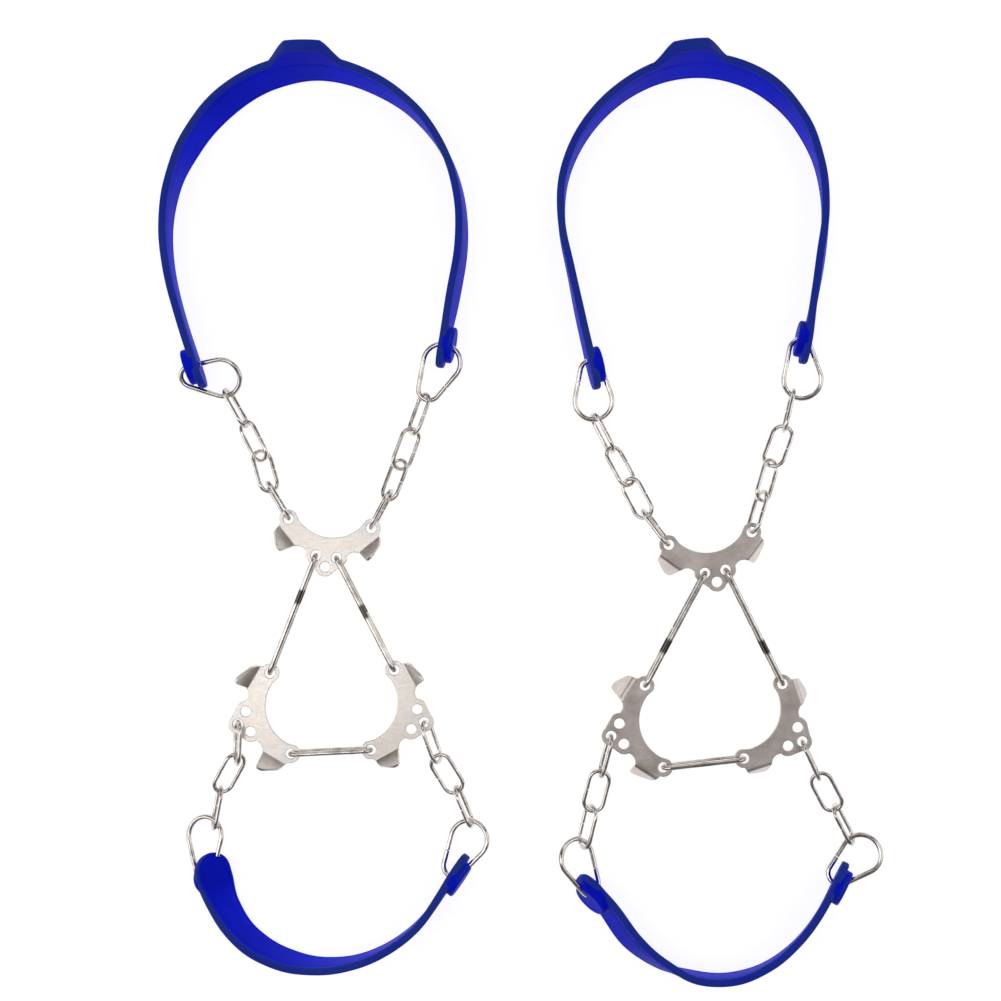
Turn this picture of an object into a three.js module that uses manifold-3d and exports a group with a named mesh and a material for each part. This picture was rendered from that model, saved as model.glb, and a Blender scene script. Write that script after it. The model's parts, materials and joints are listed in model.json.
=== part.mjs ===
// A pair of slip-on shoe ice cleats, lying on a flat surface.
//
// Each cleat is a loop of separate pieces that hang together without a single
// screw: a heel strap and a toe strap moulded in silicone, four pear-shaped
// wire rings in the ends of the straps, fourteen chain links, three plates
// stamped from stainless sheet with two bent teeth each, and three long wire
// loops that hold the plates in a triangle.
//
// Millimetres, +Z up. +Y points to the heel straps, -Y to the toe straps.
// Cleat "a" (at -X) lies with its teeth up, cleat "b" (at +X) stands on its
// teeth. The two cleats are the same product: every link, ring, wire loop,
// plate and band section below is made from the same dimensions.

import * as THREE from 'three';
import { mergeVertices } from 'three/addons/utils/BufferGeometryUtils.js';
import Module from 'manifold-3d';

const wasm = await Module();
wasm.setup();

// ------------------------------------------------------------ dimensions
const GAP = 0.3;                       // clearance between pieces that touch

const LINK = { wire: 1.8, length: 20.2, width: 10.4 };          // chain link, outer
const RING = { wire: 2.2, rWide: 8.1, rNarrow: 4.7, centres: 12.9 }; // centre-line
const SIDE_WIRE = { wire: 2.2, length: 57.2, width: 8.0 };      // outer
const CROSS_WIRE = { wire: 2.2, length: 37.2, width: 8.0 };     // outer
const BUTT_GAP = 0.3;                  // open joint where a wire's ends meet

const PLATE = {
  thickness: 1.4,
  endHole: 18.1,                       // end holes at (+-u, 0)
  smallHole: [4.5, 14.4],              // two holes beside the lug
  lugHole: 19.0,                       // hole in the lug, (0, v)
  holeD: 4.5,
  lobe: 4.1,                           // radius of the eye round an end hole
  arcR: 18.2, arcV: -12.1,             // concave edge: circle radius and centre
};
const TOOTH = { base: 10.9, height: 10.6, bend: 66 };

const BAND = { height: 16.0, thickness: 3.2, tip: 10.5 };        // silicone strap
const BOSS = { d: 15.6, thickness: 3.0, hole: 4.6 };            // pad round the eye
const TAB = { top: 13, base: 30, rise: 8.0, bulge: 3.2 };       // heel pull tab
const SWING = 8;                       // degrees that a strap turns in its rings

// ------------------------------------------------------------ materials
const steel = new THREE.MeshStandardMaterial({ color: 0xc9c5c1, roughness: 0.22, metalness: 1.0 });
const sheet = new THREE.MeshStandardMaterial({ color: 0xb3aba6, roughness: 0.34, metalness: 1.0 });
const silicone = new THREE.MeshStandardMaterial({ color: 0x1226c4, roughness: 0.5, metalness: 0.0 });

// ------------------------------------------------------------ helpers
const rad = THREE.MathUtils.degToRad;
const V3 = (x, y, z) => new THREE.Vector3(x, y, z);

function welded(geometry) {
  const g = geometry.clone();
  g.deleteAttribute('normal');
  g.deleteAttribute('uv');
  g.clearGroups();
  return mergeVertices(g, 1e-4);
}

function toSolid(geometry) {
  const g = welded(geometry);
  return new wasm.Manifold(new wasm.Mesh({
    numProp: 3,
    vertProperties: new Float32Array(g.attributes.position.array),
    triVerts: new Uint32Array(g.index.array),
  }));
}

function fromSolid(solid) {
  const m = solid.getMesh();
  const g = new THREE.BufferGeometry();
  g.setAttribute('position', new THREE.BufferAttribute(new Float32Array(m.vertProperties), 3));
  g.setIndex(new THREE.BufferAttribute(new Uint32Array(m.triVerts), 1));
  g.computeVertexNormals();
  return g;
}

// A frame from a compass heading (degrees from +X), a rise above the floor
// and a roll about its own long axis: d runs along, l across, n out of plane.
function frameOf(heading, rise, roll) {
  const h = rad(heading), p = rad(rise), r = rad(roll);
  const d = V3(Math.cos(h) * Math.cos(p), Math.sin(h) * Math.cos(p), Math.sin(p));
  const l0 = V3(-Math.sin(h), Math.cos(h), 0);
  const n0 = d.clone().cross(l0);
  const l = l0.clone().multiplyScalar(Math.cos(r)).addScaledVector(n0, Math.sin(r));
  const n = d.clone().cross(l);
  return { d, l, n };
}

function placed(mesh, frame, origin) {
  mesh.position.copy(origin);
  mesh.quaternion.setFromRotationMatrix(new THREE.Matrix4().makeBasis(frame.d, frame.l, frame.n));
  return mesh;
}

function at(frame, origin, x, y, z = 0) {
  return origin.clone().addScaledVector(frame.d, x).addScaledVector(frame.l, y).addScaledVector(frame.n, z);
}

// A wire's centre-line, given as points with their tangents, so that the bends
// are stepped finely and the straight runs in one piece.
class WireLine extends THREE.Curve {
  constructor(points, tangents) {
    super();
    this.points = points;
    this.tangents = tangents;
    this.steps = points.length - 1;
  }
  index(u) { return Math.round(u * this.steps); }
  getPointAt(u, target = new THREE.Vector3()) { return target.copy(this.points[this.index(u)]); }
  getPoint(u, target) { return this.getPointAt(u, target); }
  getSpacedPoints() { return this.points.map((p) => p.clone()); }
  getTangentAt(u, target = new THREE.Vector3()) { return target.copy(this.tangents[this.index(u)]); }
  getTangent(u, target) { return this.getTangentAt(u, target); }
}

// Round bar bent along a planar line made of arcs and straights. The line is
// open: it starts and ends at the butt joint.
function bentWire(stations, wire, sides) {
  const line = new WireLine(
    stations.map((s) => V3(s[0], s[1], 0)),
    stations.map((s) => V3(s[2], s[3], 0).normalize()),
  );
  const section = new THREE.Shape();
  for (let i = 0; i < sides; i++) {
    const a = (i + 0.5) / sides * 2 * Math.PI;
    section[i ? 'lineTo' : 'moveTo'](wire / 2 * Math.cos(a), wire / 2 * Math.sin(a));
  }
  section.closePath();
  const g = new THREE.ExtrudeGeometry(section, {
    steps: line.steps, bevelEnabled: false, extrudePath: line, curveSegments: 1,
  });
  return fromSolid(toSolid(g));
}

const arc = (cx, cy, r, a0, a1, n, first = 0) => {
  const out = [];
  for (let i = first; i <= n; i++) {
    const a = a0 + (a1 - a0) * i / n;
    out.push([cx + r * Math.cos(a), cy + r * Math.sin(a), -Math.sin(a), Math.cos(a)]);
  }
  return out;
};

// Oval loop, x from the apex of the near bend (x = 0) to the far one.
function ovalLoop({ wire, length, width }, segments, sides) {
  const r = (width - wire) / 2, l = length - wire;
  const q = Math.PI / 2;
  return bentWire([
    [l / 2 + BUTT_GAP / 2, -r, 1, 0],
    ...arc(l - r, 0, r, -q, q, segments),
    ...arc(r, 0, r, q, 3 * q, segments),
    [l / 2 - BUTT_GAP / 2, -r, 1, 0],
  ], wire, sides);
}

// Pear-shaped loop, x from the centre of the wide bend towards the narrow one.
const pearAngle = Math.asin((RING.rWide - RING.rNarrow) / RING.centres);
function pearLoop(side, thick = RING.wire) {
  const { wire, rWide, rNarrow, centres } = RING;
  const a = Math.PI / 2 - pearAngle;
  const s = Math.sin(pearAngle), c = Math.cos(pearAngle);
  // a point on the lower straight, t from the wide bend to the narrow one
  const low = (t) => {
    const x0 = rWide * Math.sin(pearAngle), y0 = -rWide * Math.cos(pearAngle);
    const x1 = centres + rNarrow * Math.sin(pearAngle), y1 = -rNarrow * Math.cos(pearAngle);
    return [x0 + (x1 - x0) * t, y0 + (y1 - y0) * t, c, s];
  };
  const run = Math.sqrt(centres ** 2 - (rWide - rNarrow) ** 2);
  const e = BUTT_GAP / 2 / run;
  const pts = [
    low(0.55 + e),
    ...arc(centres, 0, rNarrow, -a, a, 5),
    ...arc(0, 0, rWide, a, 2 * Math.PI - a, 9),
    low(0.55 - e),
  ];
  return bentWire(side > 0 ? pts : pts.map(([x, y, tx, ty]) => [x, -y, -tx, ty]).reverse(), thick, thick > wire ? 8 : 6);
}

// ------------------------------------------------------------ stamped plate
// Local frame: u along the end holes, v towards the lug, teeth on the -n side.
function platePiece() {
  const P = PLATE, half = P.thickness / 2;
  const outline = [];
  const arcPts = (cx, cy, r, a0, a1, n) => {
    for (let i = 0; i <= n; i++) {
      const a = rad(a0 + (a1 - a0) * i / n);
      outline.push([cx + r * Math.cos(a), cy + r * Math.sin(a)]);
    }
  };
  // right half, from the middle of the concave edge round to the lug tip
  const edge = (u) => P.arcV + Math.sqrt(P.arcR ** 2 - u ** 2);
  for (const u of [0, 4, 7.8, 11, 13.4]) outline.push([u, edge(u)]);
  arcPts(P.endHole, 0, P.lobe, 228, 392, 7);
  outline.push([22.6, 4.1], [14.9, 11.8], [12.6, 11.1], [10.4, 11.6]);
  arcPts(P.smallHole[0] + 0.6, P.smallHole[1], 3.95, -18, 45, 3);
  arcPts(0, P.lugHole, P.holeD / 2 + 1.9, 28, 90, 4);
  const right = outline.filter(([u], i) => i === 0 || u > 1e-6 || i === outline.length - 1);
  const left = right.slice(1, -1).reverse().map(([u, v]) => [-u, v]);
  const shape = new THREE.Shape([...right, ...left].map(([u, v]) => new THREE.Vector2(u, v)));
  const holes = [[-P.endHole, 0], [P.endHole, 0], [-P.smallHole[0], P.smallHole[1]],
    [P.smallHole[0], P.smallHole[1]], [0, P.lugHole]];
  for (const [u, v] of holes) {
    const h = new THREE.Path();
    for (let i = 0; i < 12; i++) {
      const a = -i / 12 * 2 * Math.PI;
      h[i ? 'lineTo' : 'moveTo'](u + P.holeD / 2 * Math.cos(a), v + P.holeD / 2 * Math.sin(a));
    }
    h.closePath();
    shape.holes.push(h);
  }
  const blank = new THREE.ExtrudeGeometry(shape, { depth: P.thickness, bevelEnabled: false, curveSegments: 8 });
  blank.translate(0, 0, -half);
  let solid = toSolid(blank);
  // shark-fin teeth, bent down along the slanting outer edges
  for (const side of [1, -1]) {
    const fin = new THREE.Shape([
      [0, -0.6], [TOOTH.base, -0.6], [TOOTH.base, 0.9], [TOOTH.base - 1.0, TOOTH.height - 1.0],
      [TOOTH.base - 1.7, TOOTH.height], [TOOTH.base - 3.6, TOOTH.height],
      [TOOTH.base - 5.2, TOOTH.height - 1.1], [0.9, 4.4], [0.1, 1.6],
    ].map(([x, y]) => new THREE.Vector2(x, y)));
    const tooth = new THREE.ExtrudeGeometry(fin, { depth: P.thickness, bevelEnabled: false });
    const b = V3(-0.7078 * side, 0.7064, 0);         // along the bend line, towards the lug
    const out = V3(0.7064 * side, 0.7078, 0);        // away from the plate
    const h = out.clone().multiplyScalar(Math.cos(rad(TOOTH.bend)))
      .addScaledVector(V3(0, 0, -1), Math.sin(rad(TOOTH.bend)));
    const t = b.clone().cross(h);                     // thickness, away from the plate side first
    const inward = t.dot(out) > 0 ? -1 : 1;
    const origin = V3(22.6 * side, 4.1, 0).addScaledVector(out, -0.35)
      .addScaledVector(t, inward > 0 ? -0.0 : -P.thickness);
    tooth.applyMatrix4(new THREE.Matrix4().makeBasis(b, h, t).setPosition(origin));
    solid = solid.add(toSolid(tooth));
  }
  return fromSolid(solid);
}

// ------------------------------------------------------------ silicone strap
// A band that stands on its edge. Its middle follows a path of stations
// [x, y, lean]; a positive lean tips the top edge away from the loop.
function strapPiece({ stations, ends, bossSide, tab, count, passages }) {
  const H = BAND.height, T = BAND.thickness;
  const rest = (lean, bossLow) => 0.25 + H / 2 * Math.cos(rad(lean)) + T / 2 * Math.abs(Math.sin(rad(lean)))
    + (bossLow ? BOSS.thickness * Math.abs(Math.sin(rad(lean))) : 0);
  const middle = stations.map(([x, y, lean]) => ({ p: V3(x, y, rest(lean, false)), lean }));
  const nodes = [ends[0], ...middle, ends[1]];
  const curve = new THREE.CatmullRomCurve3(nodes.map((n) => n.p), false, 'centripetal');
  curve.arcLengthDivisions = 400;
  const L = curve.getLength();
  // arc length at each station, for the lean
  const lengths = curve.getLengths(400);
  const knots = nodes.map((_, i) => lengths[Math.round(i / (nodes.length - 1) * 400)]);
  const leanAt = (s) => {
    if (s <= 0) return nodes[0].lean;
    if (s >= L) return nodes[nodes.length - 1].lean;
    let i = 0;
    while (i < knots.length - 2 && knots[i + 1] < s) i++;
    const t = (s - knots[i]) / (knots[i + 1] - knots[i]);
    const w = t * t * (3 - 2 * t);
    return nodes[i].lean + (nodes[i + 1].lean - nodes[i].lean) * w;
  };
  const sectionAt = (s) => {
    const u = THREE.MathUtils.clamp(s / L, 0, 1);
    const p = curve.getPointAt(u), d = curve.getTangentAt(u);
    const flat = V3(d.x, d.y, 0).normalize();
    if (s < 0) p.addScaledVector(flat, s);
    if (s > L) p.addScaledVector(flat, s - L);
    // never below the surface that the strap rests on
    p.z = Math.max(p.z, rest(leanAt(s), false));
    const out = V3(-flat.y, flat.x, 0).multiplyScalar(turn);   // away from the loop
    const lean = rad(leanAt(s));
    const w = V3(0, 0, Math.cos(lean)).addScaledVector(out, Math.sin(lean));
    const n = out.clone().multiplyScalar(Math.cos(lean)).addScaledVector(V3(0, 0, 1), -Math.sin(lean));
    return { p, d: flat, w, n };
  };
  const mid = nodes.reduce((a, b) => a.add(b.p), V3(0, 0, 0)).divideScalar(nodes.length);
  const d0 = curve.getTangentAt(0.5), p0 = curve.getPointAt(0.5);
  const turn = V3(-d0.y, d0.x, 0).dot(p0.clone().sub(mid)) > 0 ? 1 : -1;
  const wrap = (g, map) => {
    const a = g.attributes.position;
    for (let i = 0; i < a.count; i++) {
      const q = map(a.getX(i), a.getY(i), a.getZ(i));
      a.setXYZ(i, q.x, q.y, q.z);
    }
    return g;
  };
  const point = (s, along, t, h) => {
    const { p, d, w, n } = sectionAt(s);
    return p.clone().addScaledVector(d, along).addScaledVector(n, t).addScaledVector(w, h);
  };
  // stations along the band: fine at the rounded tips and at the tab
  const tip = BAND.tip, ss = [-tip, -tip + 0.7, -tip + 2.0, -tip + 4.2];
  const cuts = new Set();
  for (let i = 0; i <= count; i++) cuts.add(-2 + (L + 4) * i / count);
  const crown = tab ? tab * L : null;
  let mids = [...cuts];
  if (tab) {
    mids = mids.filter((s) => Math.abs(s - crown) > TAB.base / 2 + 2);
    mids.push(crown - TAB.base / 2, crown - TAB.base / 4 - TAB.top / 4, crown - TAB.top / 2, crown,
      crown + TAB.top / 2, crown + TAB.base / 4 + TAB.top / 4, crown + TAB.base / 2);
  }
  mids.sort((a, b) => a - b);
  const all = [...ss, ...mids, L + tip - 4.2, L + tip - 2.0, L + tip - 0.7, L + tip];
  const halfAt = (s) => {
    const e = Math.min(s + tip, L + tip - s);
    if (e >= H / 2) return H / 2;
    return Math.max(2.2, Math.sqrt(Math.max(0, (H / 2) ** 2 - (H / 2 - e) ** 2)));
  };
  const tabAt = (s) => {
    if (!tab) return 0;
    const x = Math.abs(s - crown);
    if (x >= TAB.base / 2) return 0;
    if (x <= TAB.top / 2) return 1;
    return (TAB.base / 2 - x) / (TAB.base / 2 - TAB.top / 2);
  };
  const box = new THREE.BoxGeometry(1, 1, 1, all.length - 1, 1, 1);
  wrap(box, (x, y, z) => {
    const s = all[Math.round((turn * x + 0.5) * (all.length - 1))];
    const k = tabAt(s), top = z > 0;
    const outer = y > 0;
    const hh = halfAt(s);
    const h = top ? hh + TAB.rise * k : -hh;
    const t = outer ? T / 2 + (top ? TAB.bulge * k : 0) : -T / 2;
    return point(s, 0, t, h);
  });
  let solid = toSolid(box);
  if (solid.volume() <= 0) throw new Error('strap is inside out');
  const bored = [];
  for (const s of [0, L]) {
    const disc = new THREE.CylinderGeometry(BOSS.d / 2, BOSS.d / 2, 1, 20, 1);
    solid = solid.add(toSolid(wrap(disc, (x, y, z) => point(s, x * turn * bossSide,
      (y > 0 ? T / 2 + BOSS.thickness : T / 2 - 1.2) * bossSide, z))));
    const bore = new THREE.CylinderGeometry(BOSS.hole / 2, BOSS.hole / 2, 1, 12, 1);
    bored.push(toSolid(wrap(bore, (x, y, z) => point(s, x * turn,
      (T / 2 + BOSS.thickness + 1) * (y > 0 ? 1 : -1), z))));
  }
  solid = solid.subtract(wasm.Manifold.union([...bored, ...passages]));
  return fromSolid(solid.simplify(0.02));
}

// ------------------------------------------------------------ layout
// How each piece lies. Chains start at a plate hole; every link has a heading
// (degrees from +X), a rise and a roll. Rings have the heading of their long
// axis, from the wide bend to the narrow one, and the polar angle (on the wide
// bend, or 'narrow') at which the chain holds them.
const LAYOUT = {
  a: {
    teethUp: true,
    heelPlate: [-74.26, -10.04, 5.6, 173.58],
    sidePlateL: [-95.875, -92.635, 5.6, 104.22],
    sidePlateR: [-51.366, -91.14, 5.6, -106.37],
    chains: {
      heel_l: { plate: 'heel', hole: 'end+', links: [[120.6, -0.3, -72, 0], [106.5, -3.8, 40, 4.2], [116.4, 2.4, -38, 4.2], [119.5, 0.4, 80, 2.1]] },
      heel_r: { plate: 'heel', hole: 'end-', links: [[62.3, -0.3, 84, 0], [69.6, -3.8, -38, 4.2], [69.4, 0.8, 34, 4.0], [69.6, 1.8, -56, 2.1]] },
      toe_l: { plate: 'sideL', hole: 'lug', links: [[-91.8, -0.3, 66, 1.0], [-118.7, -1.2, -34, 4.2], [-100.0, 0.7, 70, 2.1]] },
      toe_r: { plate: 'sideR', hole: 'lug', links: [[-70.2, -0.3, -68, 0], [-58.1, -0.4, 8, 2.9], [-67.2, 0, -80, 2.1]] },
    },
    rings: {
      heel_l: { heading: 177.0, roll: -18, hold: 113, drop: [2.65, 1.0], eye: 'side', band: [-133.3, 58.1], seam: 1 },
      heel_r: { heading: -116.0, roll: 0, hold: 'narrow', drop: [2.45, 0], eye: 'wide', band: [-23.2, 67.0], seam: -1 },
      toe_l: { heading: -88.0, roll: 18, hold: 143, drop: [3.6, 0], eye: 48, band: [-124.6, -163.0], seam: -1 },
      toe_r: { heading: -120.0, roll: 16, hold: 208, drop: [2.75, 0], eye: 40, band: [-18.9, -162.8], seam: 1 },
    },
    heelStrap: {
      bossSide: 1, tab: 0.506, count: 34,
      endLean: [-4, -4], endHeading: [-66, -116],
      stations: [[-138.4, 78.7, -5], [-143.4, 98.6, -4], [-145.1, 118.1, -2], [-142.0, 137.6, 3],
        [-133.4, 156.0, 15], [-119.8, 172.3, 23], [-100.9, 183.8, 20], [-78.4, 187.4, 13],
        [-56.5, 181.5, 9], [-37.7, 169.2, 2], [-24.4, 151.6, -4], [-17.8, 131.1, -7],
        [-17.0, 110.2, -9], [-20.4, 89.4, -10]],
    },
    toeStrap: {
      bossSide: 1, tab: 0, count: 22,
      endLean: [52, -12], endHeading: [107, 66],
      stations: [[-119.6, -176.0, 28], [-109.9, -189.5, 17], [-94.9, -198.5, 8],
        [-78.1, -201.8, -2], [-61.5, -199.7, -7], [-46.7, -193.0, -8], [-34.3, -182.8, -8], [-25.6, -170.4, -9]],
    },
  },
  b: {
    teethUp: false,
    heelPlate: [90.491, -16.342, 10.5, 188.61],
    sidePlateL: [66.292, -97.464, 10.5, 102.59],
    sidePlateR: [113.334, -95.203, 10.5, -117.33],
    chains: {
      heel_l: { plate: 'heel', hole: 'end+', links: [[126.4, -4.7, 74, 0], [117.2, -8.4, -32, 3.4], [118.2, -3.6, 38, 2.5], [117.1, -1.4, -76, 2.1]] },
      heel_r: { plate: 'heel', hole: 'end-', links: [[72.7, -4.7, -72, 0], [72.1, -8.8, 38, 4.0], [69.1, -3.6, -24, 2.5], [76.2, -1.4, 84, 2.1]] },
      toe_l: { plate: 'sideL', hole: 'lug', links: [[-104.0, -7.2, 84, 0], [-103.6, -7.0, -2, 2.1], [-103.4, -2.1, 62, 2.1]] },
      toe_r: { plate: 'sideR', hole: 'lug', links: [[-64.2, -7.2, -78, 0], [-61.4, -7.0, 14, 2.1], [-62.4, -2.1, -64, 2.1]] },
    },
    rings: {
      heel_l: { heading: 95.0, roll: -4, hold: 182, drop: [2.55, 0], eye: -30, band: [41.0, 58.5], seam: -1 },
      heel_r: { heading: 96.0, roll: -2, hold: 143, drop: [2.55, 0], eye: -22, band: [131.2, 69.6], seam: 1 },
      toe_l: { heading: -64.0, roll: -32, hold: 121, drop: [2.8, 0], eye: -12, band: [40.1, -171.1], seam: -1 },
      toe_r: { heading: -138.5, roll: 14, hold: 262, drop: [2.5, 0], eye: 42, band: [146.6, -166.7], seam: 1 },
    },
    heelStrap: {
      bossSide: -1, tab: 0.508, count: 34,
      endLean: [-2, -6], endHeading: [-84, -98],
      stations: [[34.7, 79.4, -1], [30.4, 100.1, 2], [26.6, 119.0, 4], [27.2, 139.0, 6],
        [35.1, 158.4, 8], [49.5, 174.7, 9], [69.3, 185.7, 11], [92.4, 188.2, 12],
        [114.3, 180.5, 9], [130.2, 164.4, 0], [138.6, 144.8, -9], [140.9, 125.0, -13],
        [138.9, 106.1, -16], [135.7, 86.1, -13]],
    },
    toeStrap: {
      bossSide: 1, tab: 0, count: 22,
      endLean: [-28, -18], endHeading: [112, 62],
      stations: [[47.5, -177.9, -30], [56.5, -190.7, -32], [68.8, -200.4, -24],
        [84.0, -206.6, -8], [100.6, -207.4, -11], [116.4, -201.7, -17], [129.3, -191.3, -20], [138.6, -179.0, -20]],
    },
  },
};

// ------------------------------------------------------------ assembly
const pair = new THREE.Group();
pair.name = 'shoe_ice_cleats';
const pivots = {};                     // points that the joints turn about

const shapes = {
  link: ovalLoop(LINK, 6, 6),
  sideWire: ovalLoop(SIDE_WIRE, 6, 6),
  crossWire: ovalLoop(CROSS_WIRE, 6, 6),
  plate: platePiece(),
  ringPlus: pearLoop(1),
  ringMinus: pearLoop(-1),
};

for (const [key, cleat] of Object.entries(LAYOUT)) {
  const group = new THREE.Group();
  pair.add(group);
  const add = (name, geometry, material, frame, origin) => {
    const mesh = new THREE.Mesh(geometry, material);
    mesh.name = `${key}_${name}`;
    if (frame) placed(mesh, frame, origin);
    group.add(mesh);
    return mesh;
  };
  const piv = pivots[key] = {};

  // plates: teeth on the -n side, so a cleat with its teeth up is turned over
  const plates = {};
  for (const [name, node, [x, y, z, yaw]] of [['heel', 'heel_plate', cleat.heelPlate],
    ['sideL', 'side_plate_l', cleat.sidePlateL], ['sideR', 'side_plate_r', cleat.sidePlateR]]) {
    const a = rad(yaw), side = cleat.teethUp ? -1 : 1;
    const v = V3(-Math.sin(a), Math.cos(a), 0);
    const d = V3(Math.cos(a), Math.sin(a), 0).multiplyScalar(side);
    const frame = { d, l: v, n: d.clone().cross(v) };
    const origin = V3(x, y, z);
    plates[name] = { frame, origin };
    add(node, shapes.plate, sheet, frame, origin);
  }
  const side = cleat.teethUp ? -1 : 1;
  const hole = (plate, which) => {
    const { frame, origin } = plates[plate];
    const uv = { 'end+': [PLATE.endHole * side, 0], 'end-': [-PLATE.endHole * side, 0],
      'small+': [PLATE.smallHole[0] * side, PLATE.smallHole[1]],
      'small-': [-PLATE.smallHole[0] * side, PLATE.smallHole[1]], lug: [0, PLATE.lugHole] }[which];
    return at(frame, origin, ...uv);
  };

  // long wire loops, on edge, from hole to hole
  const wireBetween = (node, a, b, geometry, size) => {
    const v = b.clone().sub(a), flat = Math.hypot(v.x, v.y);
    const heading = THREE.MathUtils.radToDeg(Math.atan2(v.y, v.x));
    const rise = THREE.MathUtils.radToDeg(Math.atan2(v.z, flat));
    const frame = frameOf(heading, rise, 90);
    const slack = (v.length() - (size.length - size.wire)) / 2;
    const origin = at(frame, a, slack, 0);
    add(node, geometry, steel, frame, origin);
    const r = (size.width - size.wire) / 2;
    return [at(frame, a, r, 0), at(frame, b, -r, 0)];
  };
  piv.side_wire_l = wireBetween('side_wire_l', hole('heel', 'small+'), hole('sideL', 'end+'), shapes.sideWire, SIDE_WIRE);
  piv.side_wire_r = wireBetween('side_wire_r', hole('heel', 'small-'), hole('sideR', 'end-'), shapes.sideWire, SIDE_WIRE);
  piv.cross_wire = wireBetween('cross_wire', hole('sideL', 'end-'), hole('sideR', 'end+'), shapes.crossWire, CROSS_WIRE);

  // chains and their rings
  const linkLine = LINK.length - LINK.wire, linkR = (LINK.width - LINK.wire) / 2;
  const cross = LINK.wire + GAP;
  const eyes = {};
  for (const [run, chain] of Object.entries(cleat.chains)) {
    const frames = chain.links.map(([h, p, r]) => frameOf(h, p, r));
    let near = at(frames[0], hole(chain.plate, chain.hole), -chain.links[0][3], 0);
    const points = [at(frames[0], near, linkR, 0)];
    const end = run.split('_')[0], lr = run.split('_')[1];
    frames.forEach((frame, i) => {
      add(`${end}_link_${lr}${i + 1}`, shapes.link, steel, frame, near);
      const far = at(frame, near, linkLine, 0);
      if (i < frames.length - 1) {
        const along = frame.d.clone().add(frames[i + 1].d).normalize();
        near = far.clone().addScaledVector(along, -Math.max(cross, chain.links[i + 1][3]));
        // turn about the flatter of the two wires that cross here
        const flatness = (k) => Math.abs(Math.sin(rad(chain.links[k][2])));
        const w = flatness(i) + 0.15 < flatness(i + 1) ? 1 : flatness(i + 1) + 0.15 < flatness(i) ? 0 : 0.5;
        points.push(near.clone().lerp(far, w));
      } else {
        // the ring's wire lies inside this link's far bend
        const spec = cleat.rings[run];
        const hold = at(frame, far, -spec.drop[0], 0).add(V3(0, 0, -spec.drop[1]));
        const local = spec.hold === 'narrow'
          ? [RING.centres + RING.rNarrow, 0]
          : [RING.rWide * Math.cos(rad(spec.hold)), RING.rWide * Math.sin(rad(spec.hold))];
        const eye = spec.eye === 'wide' ? [-RING.rWide, 0]
          : spec.eye === 'side' ? [11.4, -(RING.rWide / Math.cos(pearAngle) - 11.4 * Math.tan(pearAngle))]
            : [RING.centres + RING.rNarrow * Math.cos(rad(spec.eye)), RING.rNarrow * Math.sin(rad(spec.eye))];
        const strap = end === 'heel' ? cleat.heelStrap : cleat.toeStrap;
        const lean = strap.endLean[lr === 'l' ? 0 : 1];
        const low = strap.bossSide * lean > 0;
        const eyeZ = 0.25 + BAND.height / 2 * Math.cos(rad(lean)) + BAND.thickness / 2 * Math.abs(Math.sin(rad(lean)))
          + (low ? BOSS.thickness * Math.abs(Math.sin(rad(lean))) : 0);
        // the rise that brings the eye to the height of the strap's hole
        const A = eye[0] - local[0], B = (eye[1] - local[1]) * Math.sin(rad(spec.roll));
        const rise = THREE.MathUtils.radToDeg(Math.asin((eyeZ - hold.z) / Math.hypot(A, B)) - Math.atan2(B, A));
        const bent = rise > 90 || rise < -90 ? THREE.MathUtils.radToDeg(Math.PI - Math.asin((eyeZ - hold.z) / Math.hypot(A, B)) - Math.atan2(B, A)) : rise;
        const rf = frameOf(spec.heading, bent, spec.roll);
        const origin = at(rf, hold, -local[0], -local[1]);
        add(`${end}_ring_${lr}`, spec.seam > 0 ? shapes.ringPlus : shapes.ringMinus, steel, rf, origin);
        points.push(hold);
        // the room that the ring needs where it passes through the strap
        const room = [1, -1].map((seam) => {
          const mesh = new THREE.Mesh(pearLoop(seam, RING.wire + 2 * GAP + 0.5));
          placed(mesh, rf, origin).updateMatrixWorld(true);
          return toSolid(mesh.geometry.clone().applyMatrix4(mesh.matrixWorld));
        });
        eyes[run] = { p: V3(spec.band[0], spec.band[1], at(rf, origin, eye[0], eye[1]).z), lean, room, seam: spec.seam };
      }
    });
    piv[run] = points;
    piv[`${run}_eye`] = eyes[run].p;
  }

  // straps: the band's middle sits beside the eye by half of the boss
  for (const [end, strap] of [['heel', cleat.heelStrap], ['toe', cleat.toeStrap]]) {
    const ends = ['l', 'r'].map((lr, i) => {
      const eye = eyes[`${end}_${lr}`];
      const h = rad(strap.endHeading[i]);
      const run = V3(Math.cos(h), Math.sin(h), 0);                 // towards the tip
      // away from the loop: left of the way to the left tip, right of the way to the right tip
      const turnTo = (end === 'heel') === (i === 0) ? -1 : 1;
      const out = V3(-run.y, run.x, 0).multiplyScalar(turnTo);
      const lean = rad(eye.lean);
      const n = out.clone().multiplyScalar(Math.cos(lean)).addScaledVector(V3(0, 0, 1), -Math.sin(lean));
      return { p: eye.p.clone().addScaledVector(n, -strap.bossSide * BOSS.thickness / 2), lean: eye.lean };
    });
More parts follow.
